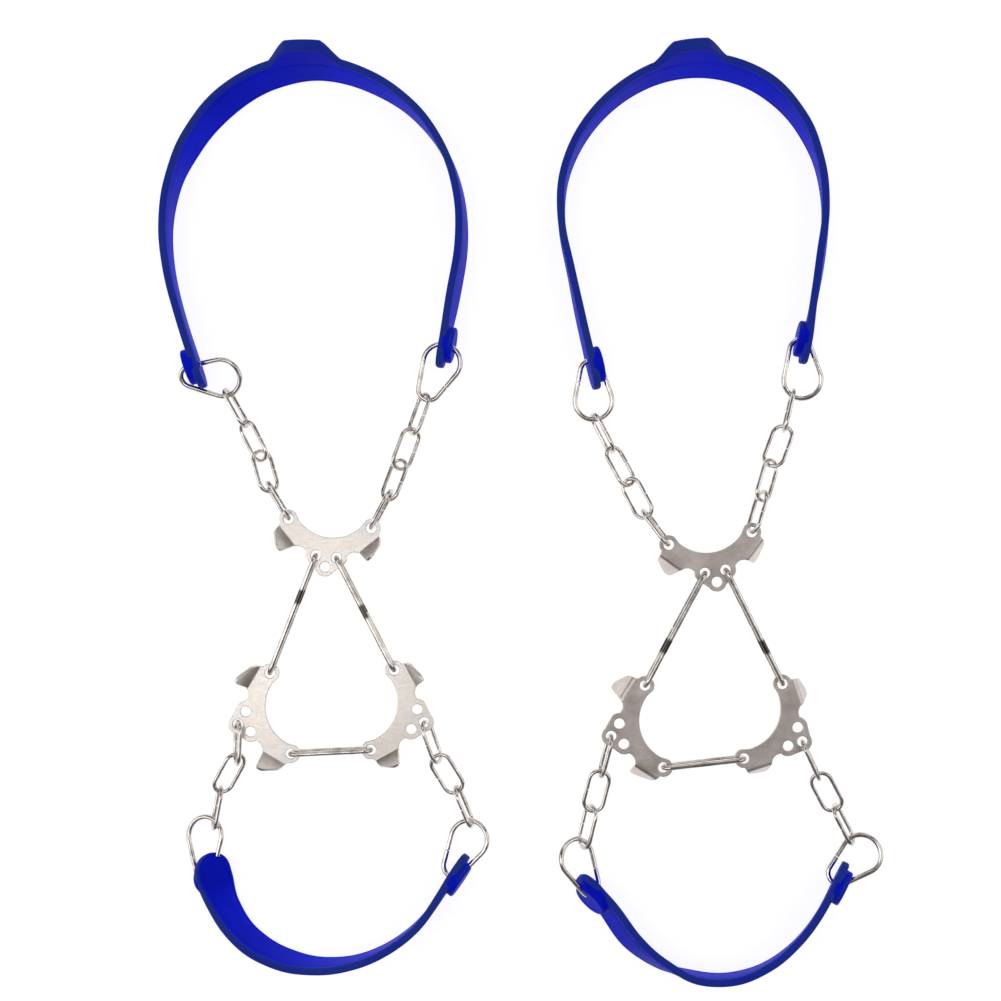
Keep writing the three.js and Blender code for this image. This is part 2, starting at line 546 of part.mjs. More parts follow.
    // the rings keep their room while the strap swings about its two eyes
    const [pl, pr] = ['l', 'r'].map((lr) => eyes[`${end}_${lr}`].p);
    const axis = pr.clone().sub(pl).normalize();
    const passages = ['l', 'r'].flatMap((lr) => {
      const { room, seam } = eyes[`${end}_${lr}`];
      const turned = [...room];
      for (let a = -SWING; a <= SWING + 1e-6; a += SWING / 2) {
        const m = new THREE.Matrix4().makeTranslation(pl.x, pl.y, pl.z)
          .multiply(new THREE.Matrix4().makeRotationAxis(axis, rad(a)))
          .multiply(new THREE.Matrix4().makeTranslation(-pl.x, -pl.y, -pl.z));
        for (const r of seam > 0 ? room : room.slice(1)) turned.push(r.transform(m.elements));
      }
      return turned;
    });
    add(`${end}_strap`, strapPiece({ ...strap, ends, passages }), silicone);
  }
}

// The origin is the middle of the pair's footprint, on the surface it lies on.
pair.updateMatrixWorld(true);
const box = new THREE.Box3().setFromObject(pair, true);
const shift = V3(-(box.min.x + box.max.x) / 2, -(box.min.y + box.max.y) / 2, -box.min.z);
pair.position.copy(shift);
pair.updateMatrixWorld(true);
pair.userData = {
  shift: shift.toArray(),
  pivots: JSON.parse(JSON.stringify(pivots)),
};

export default pair;
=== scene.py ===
# Shoe ice cleats: a pair, one with its teeth up and one standing on its teeth.
# Silicone straps, bent stainless wire and stamped stainless plates, on a plain
# pale floor under soft light. Metres, +Z up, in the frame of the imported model.

import json
import math
import random

import bmesh
import bpy
import numpy as np
from mathutils import Matrix, Vector


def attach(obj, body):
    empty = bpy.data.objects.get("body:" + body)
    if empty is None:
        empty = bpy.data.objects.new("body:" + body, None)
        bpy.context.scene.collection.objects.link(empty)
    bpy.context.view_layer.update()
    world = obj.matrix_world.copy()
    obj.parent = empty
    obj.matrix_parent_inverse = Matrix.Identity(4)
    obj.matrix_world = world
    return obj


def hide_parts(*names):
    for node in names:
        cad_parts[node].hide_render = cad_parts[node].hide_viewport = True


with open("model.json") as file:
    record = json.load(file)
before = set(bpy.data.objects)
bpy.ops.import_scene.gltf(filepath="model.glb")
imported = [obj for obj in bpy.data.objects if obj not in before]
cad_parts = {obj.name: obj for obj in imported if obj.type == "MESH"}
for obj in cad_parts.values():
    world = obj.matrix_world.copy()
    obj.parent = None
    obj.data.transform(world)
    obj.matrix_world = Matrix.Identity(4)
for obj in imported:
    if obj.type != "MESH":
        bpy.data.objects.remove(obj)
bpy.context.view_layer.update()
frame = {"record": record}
random.seed(7)
MM = 0.001

# ---------------------------------------------------------------- dimensions
# All in millimetres.
LINK = {"wire": 1.8, "length": 20.2, "width": 10.4}
RING = {"wire": 2.2, "wide": 8.1, "narrow": 4.7, "centres": 12.9}
SIDE_WIRE = {"wire": 2.2, "length": 57.2, "width": 8.0}
CROSS_WIRE = {"wire": 2.2, "length": 37.2, "width": 8.0}
BUTT_GAP = 0.26
PLATE = {
    "thickness": 1.4, "end": 18.1, "small": (4.5, 14.4), "lug": 19.0, "hole": 4.5,
    "lobe": 4.1, "arc_r": 18.2, "arc_v": -12.1,
}
TOOTH = {"base": 10.9, "height": 10.6, "bend": 66.0, "radius": 1.5}
BAND = {"height": 16.0, "thickness": 3.2, "tip": 10.5}
BOSS = {"d": 15.6, "thickness": 3.0}
TAB = {"top": 13.0, "base": 30.0, "rise": 8.0, "bulge": 3.2}
CAMERA = (-9.339, 7.163, 549.88)
SPAN = 440.44                       # width seen at the floor

# Where each piece lies, in millimetres: origin, then the long axis and the cross
# axis of its own frame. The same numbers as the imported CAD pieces.
FRAMES = {
    "a_heel_plate": (-83.599, -2.877, 5.485, 0.99373, -0.11182, 0, -0.11182, -0.99373, 0),
    "a_side_plate_l": (-105.214, -85.472, 5.485, 0.24565, -0.96936, 0, -0.96936, -0.24565, 0),
    "a_side_plate_r": (-60.705, -83.977, 5.485, 0.28184, 0.95946, 0, 0.95946, -0.28184, 0),
    "a_side_wire_l": (-89.681, -16.684, 5.485, -0.36326, -0.93169, 0, 0, 0, 1),
    "a_side_wire_r": (-80.738, -17.69, 5.485, 0.45698, -0.88948, 0, 0, 0, 1),
    "a_cross_wire": (-100.767, -103.018, 5.485, 0.99886, 0.04783, 0, 0, 0, 1),
    "a_heel_link_l1": (-101.586, -0.853, 5.485, -0.50903, 0.86073, -0.00524, -0.26345, -0.16159, -0.95104),
    "a_heel_link_l2": (-109.274, 11.137, 5.54, -0.28339, 0.95671, -0.06627, -0.7466, -0.17672, 0.64137),
    "a_heel_link_l3": (-112.953, 24.831, 4.372, -0.44425, 0.89493, 0.04188, -0.71729, -0.32728, -0.61512),
    "a_heel_link_l4": (-120.143, 39.444, 5.091, -0.49241, 0.87033, 0.00698, -0.14775, -0.09149, 0.98478),
    "a_heel_ring_l": (-130.674, 60.398, 6.524, -0.99861, 0.05233, 0.00615, -0.05167, -0.94965, -0.30901),
    "a_heel_link_r1": (-65.613, -4.901, 5.485, 0.46484, 0.88538, -0.00524, -0.09013, 0.0532, 0.99451),
    "a_heel_link_r2": (-58.771, 7.557, 5.539, 0.34781, 0.93522, -0.06627, -0.75281, 0.23644, -0.61431),
    "a_heel_link_r3": (-53.771, 21.02, 4.424, 0.35181, 0.93597, 0.01396, -0.77878, 0.28438, 0.55914),
    "a_heel_link_r4": (-48.033, 36.275, 4.633, 0.3484, 0.93682, 0.03141, -0.51504, 0.21933, -0.82863),
    "a_heel_ring_r": (-34.817, 66.921, 7.252, -0.43519, -0.89226, -0.12033, 0.89879, -0.43837, 0),
    "a_toe_link_l1": (-123.601, -89.14, 5.49, -0.03141, -0.99949, -0.00524, 0.40639, -0.01756, 0.91353),
    "a_toe_link_l2": (-123.074, -103.479, 5.45, -0.48012, -0.87695, -0.02094, 0.73281, -0.38785, -0.55907),
    "a_toe_link_l3": (-131.213, -117.633, 5.074, -0.17364, -0.98473, 0.01222, 0.33882, -0.04809, 0.93962),
    "a_toe_ring_l": (-138.184, -138.997, 4.877, 0.03439, -0.98466, 0.17104, 0.94863, 0.08601, 0.30446),
    "a_toe_link_r1": (-42.476, -89.332, 5.485, 0.33873, -0.94087, -0.00524, 0.35082, 0.13146, -0.92717),
    "a_toe_link_r2": (-37.507, -104.034, 5.406, 0.52843, -0.84895, -0.00698, 0.84122, 0.52247, 0.13917),
    "a_toe_link_r3": (-28.749, -117.79, 5.285, 0.38752, -0.92186, 0, 0.16008, 0.06729, -0.98481),
    "a_toe_ring_r": (-23.066, -140.188, 6.673, -0.49943, -0.86504, 0.04772, 0.83905, -0.46924, 0.27532),
    "b_heel_plate": (81.152, -9.179, 10.385, -0.98873, -0.14971, 0, 0.14971, -0.98873, 0),
    "b_side_plate_l": (56.953, -90.301, 10.385, -0.21797, 0.97595, 0, -0.97595, -0.21797, 0),
    "b_side_plate_r": (103.995, -88.04, 10.385, -0.45911, -0.88838, 0, 0.88838, -0.45911, 0),
    "b_side_wire_l": (78.858, -24.09, 10.385, -0.47002, -0.88266, 0, 0, 0, 1),
    "b_side_wire_r": (87.757, -22.743, 10.385, 0.44633, -0.89487, 0, 0, 0, 1),
    "b_cross_wire": (60.897, -107.966, 10.385, 0.99394, 0.10989, 0, 0, 0, 1),
    "b_heel_link_l1": (63.256, -11.889, 10.385, -0.59142, 0.80219, -0.08194, -0.2686, -0.10017, 0.95803),
    "b_heel_link_l2": (54.154, 0.001, 9.266, -0.45219, 0.87988, -0.14608, -0.71888, -0.45649, -0.52423),
    "b_heel_link_l3": (46.99, 13.99, 6.839, -0.47162, 0.87956, -0.06279, -0.71274, -0.33831, 0.61445),
    "b_heel_link_l4": (39.286, 28.315, 5.776, -0.45541, 0.88995, -0.02443, -0.20456, -0.13131, -0.97001),
    "b_heel_ring_l": (31.085, 50.414, 6.26, -0.08663, 0.99014, 0.11005, -0.99444, -0.0793, -0.06933),
    "b_heel_link_r1": (99.048, -6.469, 10.385, 0.29637, 0.95155, -0.08194, -0.31821, 0.01749, -0.94786),
    "b_heel_link_r2": (103.3, 7.253, 9.347, 0.30374, 0.94039, -0.15299, -0.72092, 0.33183, 0.60841),
    "b_heel_link_r3": (108.063, 22.212, 6.802, 0.35603, 0.93236, -0.06279, -0.86255, 0.30204, -0.40593),
    "b_heel_link_r4": (113.988, 37.365, 5.739, 0.23846, 0.97084, -0.02443, -0.09572, 0.04853, 0.99423),
    "b_heel_ring_r": (121.945, 59.623, 6.335, -0.10369, 0.98659, 0.12604, -0.99438, -0.10009, -0.03462),
    "b_toe_link_l1": (38.41, -94.443, 10.385, -0.24001, -0.96264, -0.12533, 0.07127, -0.14623, 0.98668),
    "b_toe_link_l2": (34.49, -110.132, 8.338, -0.23339, -0.96472, -0.12187, 0.97237, -0.23086, -0.03464),
    "b_toe_link_l3": (30.685, -125.847, 6.262, -0.23159, -0.97212, -0.03664, 0.44919, -0.14027, 0.88235),
    "b_toe_ring_l": (23.744, -147.621, 8.985, 0.43664, -0.89525, -0.08869, 0.74162, 0.414, -0.52783),
    "b_toe_link_r1": (120.874, -96.763, 10.385, 0.4318, -0.89322, -0.12533, 0.13383, 0.20086, -0.97043),
    "b_toe_link_r2": (127.866, -111.345, 8.338, 0.47512, -0.87144, -0.12187, 0.86602, 0.43859, 0.24012),
    "b_toe_link_r3": (135.623, -125.533, 6.262, 0.46298, -0.88561, -0.03664, 0.37323, 0.23228, -0.89819),
    "b_toe_ring_r": (147.285, -146.201, 7.611, -0.74893, -0.6626, -0.00819, 0.64145, -0.72802, 0.24191),
}

# Middle line of each strap at every 2 mm: x, y, z in millimetres, lean in degrees.
STRAPS = {
    "a_heel_strap": {"length": 321.144, "turn": 1, "boss": 1, "crown": 162.499, "line": (
        (-141.27, 65.87, 8.23, -4), (-141.89, 67.77, 8.23, -4.02), (-142.52, 69.66, 8.23, -4.09), (-143.15, 71.55, 8.23, -4.19),
        (-143.79, 73.44, 8.23, -4.32), (-144.42, 75.33, 8.23, -4.45), (-145.05, 77.23, 8.24, -4.59), (-145.67, 79.12, 8.24, -4.73),
        (-146.28, 81.02, 8.24, -4.84), (-146.87, 82.93, 8.24, -4.93), (-147.44, 84.84, 8.24, -4.99), (-148, 86.75, 8.25, -5),
        (-148.55, 88.67, 8.25, -4.95), (-149.1, 90.59, 8.25, -4.86), (-149.64, 92.51, 8.25, -4.74), (-150.17, 94.43, 8.25, -4.6),
        (-150.68, 96.36, 8.24, -4.45), (-151.17, 98.29, 8.24, -4.31), (-151.63, 100.23, 8.24, -4.18), (-152.06, 102.18, 8.23, -4.08),
        (-152.45, 104.14, 8.23, -4.01), (-152.8, 106.1, 8.23, -3.99), (-153.12, 108.07, 8.22, -3.91), (-153.41, 110.04, 8.22, -3.73),
        (-153.68, 112.02, 8.22, -3.49), (-153.93, 114, 8.21, -3.2), (-154.13, 115.98, 8.21, -2.9), (-154.29, 117.97, 8.2, -2.61),
        (-154.41, 119.96, 8.19, -2.35), (-154.47, 121.96, 8.19, -2.15), (-154.47, 123.95, 8.19, -2.02), (-154.41, 125.95, 8.19, -1.98),
        (-154.3, 127.94, 8.18, -1.76), (-154.15, 129.93, 8.19, -1.31), (-153.95, 131.91, 8.19, -0.71), (-153.7, 133.89, 8.19, -0.01),
        (-153.4, 135.86, 8.19, 0.74), (-153.05, 137.83, 8.19, 1.46), (-152.65, 139.78, 8.2, 2.11), (-152.19, 141.72, 8.2, 2.62),
        (-151.67, 143.65, 8.21, 2.93), (-151.09, 145.55, 8.21, 3.03), (-150.45, 147.44, 8.22, 3.55), (-149.76, 149.32, 8.24, 4.61),
        (-149.02, 151.17, 8.26, 6.06), (-148.23, 153, 8.28, 7.76), (-147.39, 154.81, 8.29, 9.56), (-146.5, 156.59, 8.29, 11.31),
        (-145.57, 158.36, 8.29, 12.88), (-144.6, 160.1, 8.28, 14.1), (-143.58, 161.81, 8.28, 14.84), (-142.52, 163.5, 8.28, 15.02),
        (-141.43, 165.17, 8.27, 15.33), (-140.3, 166.82, 8.27, 15.96), (-139.14, 168.44, 8.26, 16.81), (-137.94, 170.03, 8.24, 17.82),
        (-136.7, 171.6, 8.22, 18.92), (-135.42, 173.13, 8.2, 20.02), (-134.1, 174.62, 8.18, 21.05), (-132.73, 176.07, 8.15, 21.93),
        (-131.32, 177.48, 8.14, 22.59), (-129.85, 178.84, 8.13, 22.95), (-128.34, 180.14, 8.12, 22.98), (-126.8, 181.4, 8.13, 22.85),
        (-125.22, 182.61, 8.13, 22.62), (-123.6, 183.79, 8.14, 22.31), (-121.96, 184.91, 8.15, 21.94), (-120.28, 185.99, 8.16, 21.55),
        (-118.57, 187.01, 8.17, 21.15), (-116.82, 187.98, 8.18, 20.78), (-115.05, 188.89, 8.19, 20.45), (-113.24, 189.74, 8.2, 20.2),
        (-111.4, 190.52, 8.2, 20.04), (-109.54, 191.22, 8.2, 19.99), (-107.65, 191.85, 8.21, 19.76), (-105.73, 192.41, 8.22, 19.28),
        (-103.8, 192.92, 8.23, 18.59), (-101.86, 193.36, 8.24, 17.76), (-99.9, 193.74, 8.25, 16.85), (-97.93, 194.06, 8.27, 15.92),
        (-95.95, 194.3, 8.28, 15.02), (-93.97, 194.49, 8.28, 14.22), (-91.97, 194.59, 8.29, 13.58), (-89.98, 194.63, 8.29, 13.15),
        (-87.99, 194.57, 8.29, 13), (-86, 194.43, 8.29, 12.91), (-84.02, 194.2, 8.3, 12.68), (-82.05, 193.89, 8.3, 12.33),
        (-80.09, 193.5, 8.3, 11.89), (-78.15, 193.04, 8.3, 11.4), (-76.22, 192.51, 8.3, 10.88), (-74.32, 191.93, 8.3, 10.37),
        (-72.42, 191.3, 8.3, 9.9), (-70.55, 190.61, 8.3, 9.5), (-68.69, 189.88, 8.29, 9.2), (-66.86, 189.11, 8.29, 9.03),
        (-65.04, 188.3, 8.29, 8.97), (-63.24, 187.43, 8.28, 8.69), (-61.46, 186.52, 8.28, 8.18), (-59.71, 185.56, 8.27, 7.48),
        (-57.99, 184.56, 8.27, 6.66), (-56.3, 183.5, 8.25, 5.76), (-54.63, 182.4, 8.24, 4.84), (-53, 181.26, 8.23, 3.97),
        (-51.4, 180.06, 8.21, 3.19), (-49.84, 178.82, 8.2, 2.57), (-48.32, 177.53, 8.19, 2.15), (-46.85, 176.18, 8.19, 2),
        (-45.42, 174.79, 8.18, 1.86), (-44.04, 173.35, 8.18, 1.47), (-42.7, 171.87, 8.19, 0.88), (-41.42, 170.35, 8.19, 0.16),
        (-40.17, 168.79, 8.19, -0.65), (-38.97, 167.2, 8.2, -1.47), (-37.82, 165.57, 8.21, -2.27), (-36.72, 163.9, 8.21, -2.98),
        (-35.67, 162.21, 8.22, -3.54), (-34.67, 160.48, 8.22, -3.9), (-33.72, 158.73, 8.23, -4), (-32.84, 156.94, 8.23, -4.09),
        (-32.02, 155.12, 8.24, -4.3), (-31.26, 153.28, 8.24, -4.6), (-30.56, 151.41, 8.24, -4.96), (-29.91, 149.52, 8.25, -5.36),
        (-29.32, 147.62, 8.25, -5.77), (-28.78, 145.7, 8.26, -6.16), (-28.29, 143.76, 8.26, -6.51), (-27.84, 141.82, 8.27, -6.78),
        (-27.44, 139.87, 8.27, -6.95), (-27.08, 137.91, 8.27, -7), (-26.77, 135.93, 8.27, -7.07), (-26.53, 133.95, 8.28, -7.22),
        (-26.35, 131.97, 8.28, -7.43), (-26.21, 129.98, 8.28, -7.68), (-26.13, 127.99, 8.28, -7.96), (-26.09, 125.99, 8.28, -8.24),
        (-26.09, 124, 8.28, -8.5), (-26.13, 122, 8.28, -8.73), (-26.2, 120.01, 8.29, -8.9), (-26.3, 118.02, 8.29, -8.99),
        (-26.44, 116.03, 8.29, -9.01), (-26.64, 114.04, 8.29, -9.06), (-26.89, 112.06, 8.29, -9.15), (-27.19, 110.09, 8.3, -9.27),
        (-27.53, 108.13, 8.3, -9.41), (-27.89, 106.16, 8.3, -9.56), (-28.27, 104.21, 8.3, -9.7), (-28.65, 102.25, 8.3, -9.82),
        (-29.04, 100.29, 8.3, -9.92), (-29.42, 98.33, 8.3, -9.98), (-29.77, 96.37, 8.29, -9.99), (-30.13, 94.41, 8.29, -9.8),
        (-30.49, 92.45, 8.29, -9.38), (-30.86, 90.49, 8.29, -8.8), (-31.23, 88.53, 8.28, -8.09), (-31.61, 86.57, 8.27, -7.31),
        (-31.99, 84.61, 8.26, -6.51), (-32.37, 82.65, 8.25, -5.74), (-32.75, 80.69, 8.24, -5.06), (-33.13, 78.74, 8.24, -4.5),
        (-33.51, 76.78, 8.23, -4.13), (-33.88, 74.82, 8.23, -4),
    )},
    "a_toe_strap": {"length": 139.73, "turn": -1, "boss": 1, "crown": None, "line": (
        (-133.06, -155.57, 9.87, 52), (-132.51, -157.46, 9.58, 50.66), (-132.02, -159.37, 9.26, 47.21), (-131.54, -161.28, 8.94, 42.49),
        (-131.03, -163.19, 8.63, 37.36), (-130.46, -165.08, 8.35, 32.67), (-129.78, -166.95, 8.12, 29.26), (-128.98, -168.76, 7.95, 28),
        (-128.06, -170.53, 7.97, 27.55), (-127.08, -172.27, 8.01, 26.41), (-126.04, -173.98, 8.07, 24.78), (-124.94, -175.64, 8.13, 22.9),
        (-123.78, -177.26, 8.18, 20.97), (-122.54, -178.83, 8.22, 19.21), (-121.23, -180.33, 8.24, 17.84), (-119.84, -181.76, 8.25, 17.09),
        (-118.37, -183.11, 8.26, 16.89), (-116.82, -184.37, 8.28, 16.24), (-115.21, -185.55, 8.29, 15.13), (-113.55, -186.66, 8.29, 13.73),
        (-111.85, -187.7, 8.29, 12.19), (-110.1, -188.67, 8.29, 10.69), (-108.32, -189.57, 8.29, 9.39), (-106.51, -190.4, 8.28, 8.44),
        (-104.67, -191.17, 8.28, 8.01), (-102.8, -191.86, 8.28, 7.74), (-100.9, -192.47, 8.27, 6.86), (-98.97, -193, 8.25, 5.52),
        (-97.03, -193.46, 8.24, 3.9), (-95.07, -193.84, 8.22, 2.19), (-93.1, -194.15, 8.21, 0.56), (-91.11, -194.39, 8.2, -0.8),
        (-89.13, -194.55, 8.19, -1.71), (-87.13, -194.65, 8.19, -2), (-85.14, -194.66, 8.19, -2.24), (-83.14, -194.59, 8.2, -2.8),
        (-81.15, -194.45, 8.22, -3.57), (-79.17, -194.23, 8.23, -4.45), (-77.19, -193.95, 8.25, -5.34), (-75.23, -193.59, 8.26, -6.12),
        (-73.28, -193.17, 8.27, -6.71), (-71.34, -192.68, 8.27, -6.99), (-69.43, -192.11, 8.27, -7.03), (-67.54, -191.47, 8.28, -7.12),
        (-65.67, -190.76, 8.28, -7.26), (-63.83, -189.98, 8.28, -7.44), (-62.02, -189.14, 8.28, -7.62), (-60.24, -188.24, 8.28, -7.78),
        (-58.49, -187.29, 8.28, -7.91), (-56.76, -186.28, 8.28, -7.99), (-55.07, -185.22, 8.28, -8), (-53.42, -184.11, 8.28, -8),
        (-51.8, -182.94, 8.28, -8), (-50.22, -181.72, 8.28, -8), (-48.68, -180.45, 8.28, -8), (-47.18, -179.13, 8.28, -8),
        (-45.72, -177.77, 8.28, -8), (-44.31, -176.35, 8.28, -8), (-42.96, -174.88, 8.28, -8.01), (-41.7, -173.34, 8.29, -8.1),
        (-40.51, -171.74, 8.3, -8.25), (-39.38, -170.09, 8.31, -8.44), (-38.28, -168.42, 8.31, -8.63), (-37.21, -166.74, 8.32, -8.81),
        (-36.13, -165.06, 8.31, -8.94), (-35.04, -163.39, 8.29, -9), (-33.93, -161.73, 8.29, -9.25), (-32.83, -160.06, 8.29, -9.98),
        (-31.75, -158.39, 8.29, -10.89), (-30.67, -156.71, 8.29, -11.67), (-29.58, -155.04, 8.29, -12),
    )},
    "b_heel_strap": {"length": 315.043, "turn": 1, "boss": -1, "crown": 160.042, "line": (
        (30.17, 65.51, 8.34, -2), (29.72, 67.45, 8.33, -1.98), (29.28, 69.39, 8.31, -1.91), (28.83, 71.33, 8.29, -1.82),
        (28.38, 73.28, 8.27, -1.7), (27.93, 75.22, 8.25, -1.57), (27.48, 77.16, 8.23, -1.43), (27.03, 79.11, 8.21, -1.3),
        (26.59, 81.05, 8.19, -1.18), (26.15, 82.99, 8.18, -1.08), (25.72, 84.94, 8.17, -1.02), (25.29, 86.89, 8.16, -1),
        (24.87, 88.84, 8.16, -0.92), (24.45, 90.79, 8.15, -0.7), (24.04, 92.74, 8.15, -0.38), (23.63, 94.69, 8.16, 0.01),
        (23.23, 96.64, 8.16, 0.44), (22.83, 98.6, 8.16, 0.87), (22.43, 100.55, 8.17, 1.28), (22.03, 102.5, 8.18, 1.62),
        (21.63, 104.46, 8.18, 1.87), (21.23, 106.41, 8.19, 1.99), (20.83, 108.36, 8.19, 2.03), (20.39, 110.31, 8.19, 2.16),
        (19.94, 112.25, 8.2, 2.37), (19.47, 114.19, 8.2, 2.64), (19.01, 116.13, 8.21, 2.94), (18.57, 118.07, 8.21, 3.24),
        (18.16, 120.02, 8.22, 3.52), (17.8, 121.99, 8.22, 3.76), (17.5, 123.96, 8.23, 3.93), (17.28, 125.94, 8.23, 4),
        (17.12, 127.93, 8.23, 4.04), (16.99, 129.92, 8.23, 4.18), (16.9, 131.91, 8.24, 4.39), (16.84, 133.9, 8.24, 4.65),
        (16.84, 135.89, 8.24, 4.94), (16.88, 137.89, 8.25, 5.23), (17, 139.88, 8.25, 5.5), (17.18, 141.86, 8.25, 5.74),
        (17.44, 143.84, 8.26, 5.91), (17.79, 145.8, 8.26, 5.99), (18.22, 147.75, 8.26, 6.03), (18.73, 149.68, 8.26, 6.14),
        (19.31, 151.59, 8.26, 6.34), (19.94, 153.48, 8.27, 6.59), (20.64, 155.34, 8.27, 6.87), (21.4, 157.19, 8.27, 7.16),
        (22.22, 159.01, 8.27, 7.44), (23.09, 160.8, 8.28, 7.68), (24.02, 162.56, 8.28, 7.87), (25, 164.3, 8.28, 7.98),
        (26.04, 166, 8.28, 8), (27.13, 167.67, 8.28, 8.04), (28.27, 169.3, 8.28, 8.12), (29.47, 170.9, 8.28, 8.22),
        (30.71, 172.46, 8.28, 8.35), (32, 173.98, 8.28, 8.48), (33.33, 175.47, 8.28, 8.61), (34.7, 176.91, 8.28, 8.74),
        (36.12, 178.31, 8.29, 8.85), (37.58, 179.67, 8.29, 8.94), (39.09, 180.98, 8.29, 8.99), (40.63, 182.24, 8.29, 9),
        (42.21, 183.45, 8.29, 9.07), (43.83, 184.62, 8.29, 9.21), (45.47, 185.75, 8.29, 9.4), (47.15, 186.82, 8.29, 9.62),
        (48.86, 187.85, 8.29, 9.88), (50.6, 188.83, 8.29, 10.13), (52.37, 189.75, 8.29, 10.39), (54.17, 190.61, 8.29, 10.61),
        (55.99, 191.41, 8.29, 10.8), (57.85, 192.14, 8.29, 10.93), (59.73, 192.79, 8.29, 11), (61.64, 193.37, 8.29, 11.01),
        (63.57, 193.88, 8.29, 11.06), (65.51, 194.33, 8.29, 11.14), (67.47, 194.72, 8.29, 11.25), (69.43, 195.04, 8.29, 11.37),
        (71.41, 195.3, 8.29, 11.5), (73.4, 195.49, 8.29, 11.63), (75.39, 195.61, 8.29, 11.75), (77.38, 195.66, 8.29, 11.86),
        (79.37, 195.63, 8.29, 11.94), (81.36, 195.52, 8.29, 11.99), (83.35, 195.33, 8.29, 11.99), (85.32, 195.05, 8.29, 11.9),
        (87.28, 194.68, 8.29, 11.71), (89.23, 194.24, 8.3, 11.44), (91.15, 193.74, 8.3, 11.11), (93.06, 193.16, 8.3, 10.75),
        (94.95, 192.51, 8.3, 10.37), (96.81, 191.8, 8.3, 10), (98.65, 191.02, 8.3, 9.66), (100.45, 190.18, 8.3, 9.37),
        (102.23, 189.26, 8.29, 9.15), (103.96, 188.28, 8.29, 9.02), (105.65, 187.22, 8.29, 8.97), (107.28, 186.08, 8.28, 8.63),
        (108.86, 184.86, 8.28, 7.99), (110.39, 183.58, 8.27, 7.11), (111.86, 182.24, 8.26, 6.07), (113.29, 180.84, 8.24, 4.93),
        (114.67, 179.4, 8.22, 3.77), (116, 177.92, 8.2, 2.65), (117.28, 176.39, 8.18, 1.64), (118.52, 174.83, 8.16, 0.82),
        (119.71, 173.22, 8.14, 0.25), (120.85, 171.58, 8.13, 0), (121.92, 169.91, 8.14, -0.17), (122.93, 168.19, 8.15, -0.74),
        (123.87, 166.43, 8.18, -1.64), (124.74, 164.64, 8.2, -2.75), (125.56, 162.82, 8.23, -4), (126.32, 160.98, 8.25, -5.28),
        (127.02, 159.11, 8.26, -6.51), (127.68, 157.23, 8.28, -7.59), (128.29, 155.33, 8.28, -8.42), (128.86, 153.42, 8.29, -8.91),
        (129.38, 151.5, 8.29, -9.02), (129.85, 149.56, 8.29, -9.2), (130.24, 147.6, 8.3, -9.55), (130.58, 145.64, 8.3, -10.03),
        (130.86, 143.66, 8.3, -10.59), (131.09, 141.68, 8.3, -11.17), (131.26, 139.7, 8.3, -11.75), (131.4, 137.71, 8.29, -12.26),
        (131.49, 135.72, 8.29, -12.67), (131.54, 133.72, 8.29, -12.93), (131.56, 131.73, 8.29, -13), (131.52, 129.74, 8.29, -13.13),
        (131.41, 127.74, 8.29, -13.4), (131.24, 125.76, 8.29, -13.78), (131.02, 123.78, 8.28, -14.22), (130.77, 121.8, 8.28, -14.68),
        (130.5, 119.82, 8.27, -15.13), (130.21, 117.85, 8.27, -15.52), (129.92, 115.88, 8.27, -15.82), (129.65, 113.9, 8.27, -15.98),
        (129.38, 111.93, 8.27, -15.97), (129.1, 109.95, 8.27, -15.8), (128.8, 107.98, 8.27, -15.51), (128.5, 106.01, 8.27, -15.12),
        (128.18, 104.04, 8.28, -14.68), (127.86, 102.07, 8.28, -14.23), (127.53, 100.11, 8.29, -13.8), (127.19, 98.14, 8.29, -13.43),
        (126.86, 96.17, 8.29, -13.15), (126.52, 94.21, 8.29, -13.01), (126.19, 92.24, 8.3, -12.89), (125.84, 90.28, 8.34, -12.34),
        (125.49, 88.32, 8.39, -11.44), (125.14, 86.36, 8.44, -10.32), (124.78, 84.4, 8.5, -9.11), (124.42, 82.44, 8.56, -7.95),
        (124.06, 80.48, 8.62, -6.95), (123.7, 78.52, 8.67, -6.26), (123.34, 76.56, 8.73, -6),
    )},
    "b_toe_strap": {"length": 137.749, "turn": -1, "boss": 1, "crown": None, "line": (
        (31.99, -163.44, 7.95, -28), (33.29, -164.95, 7.94, -28.23), (34.6, -166.45, 7.92, -28.77), (35.9, -167.95, 7.89, -29.39),
        (37.17, -169.49, 7.87, -29.87), (38.4, -171.06, 7.87, -30.01), (39.56, -172.69, 7.9, -30.13), (40.65, -174.36, 7.89, -30.39),
        (41.72, -176.05, 7.87, -30.74), (42.79, -177.73, 7.84, -31.11), (43.89, -179.39, 7.8, -31.47), (45.06, -181.01, 7.78, -31.77),
        (46.3, -182.58, 7.77, -31.96), (47.65, -184.05, 7.77, -31.96), (49.07, -185.45, 7.8, -31.38), (50.54, -186.8, 7.85, -30.28),
        (52.06, -188.09, 7.91, -28.86), (53.62, -189.33, 7.98, -27.33), (55.23, -190.51, 8.03, -25.89), (56.88, -191.64, 8.07, -24.74),
        (58.57, -192.7, 8.09, -24.08), (60.29, -193.71, 8.11, -23.81), (62.04, -194.67, 8.14, -22.57), (63.83, -195.56, 8.19, -20.47),
        (65.64, -196.4, 8.24, -17.82), (67.48, -197.18, 8.28, -14.97), (69.34, -197.89, 8.29, -12.23), (71.23, -198.52, 8.29, -9.94),
        (73.15, -199.07, 8.28, -8.43), (75.1, -199.53, 8.28, -8), (77.06, -199.91, 8.29, -8.17), (79.03, -200.21, 8.3, -8.51),
        (81.01, -200.44, 8.3, -8.99), (83, -200.59, 8.3, -9.52), (85, -200.65, 8.3, -10.05), (86.99, -200.62, 8.3, -10.52),
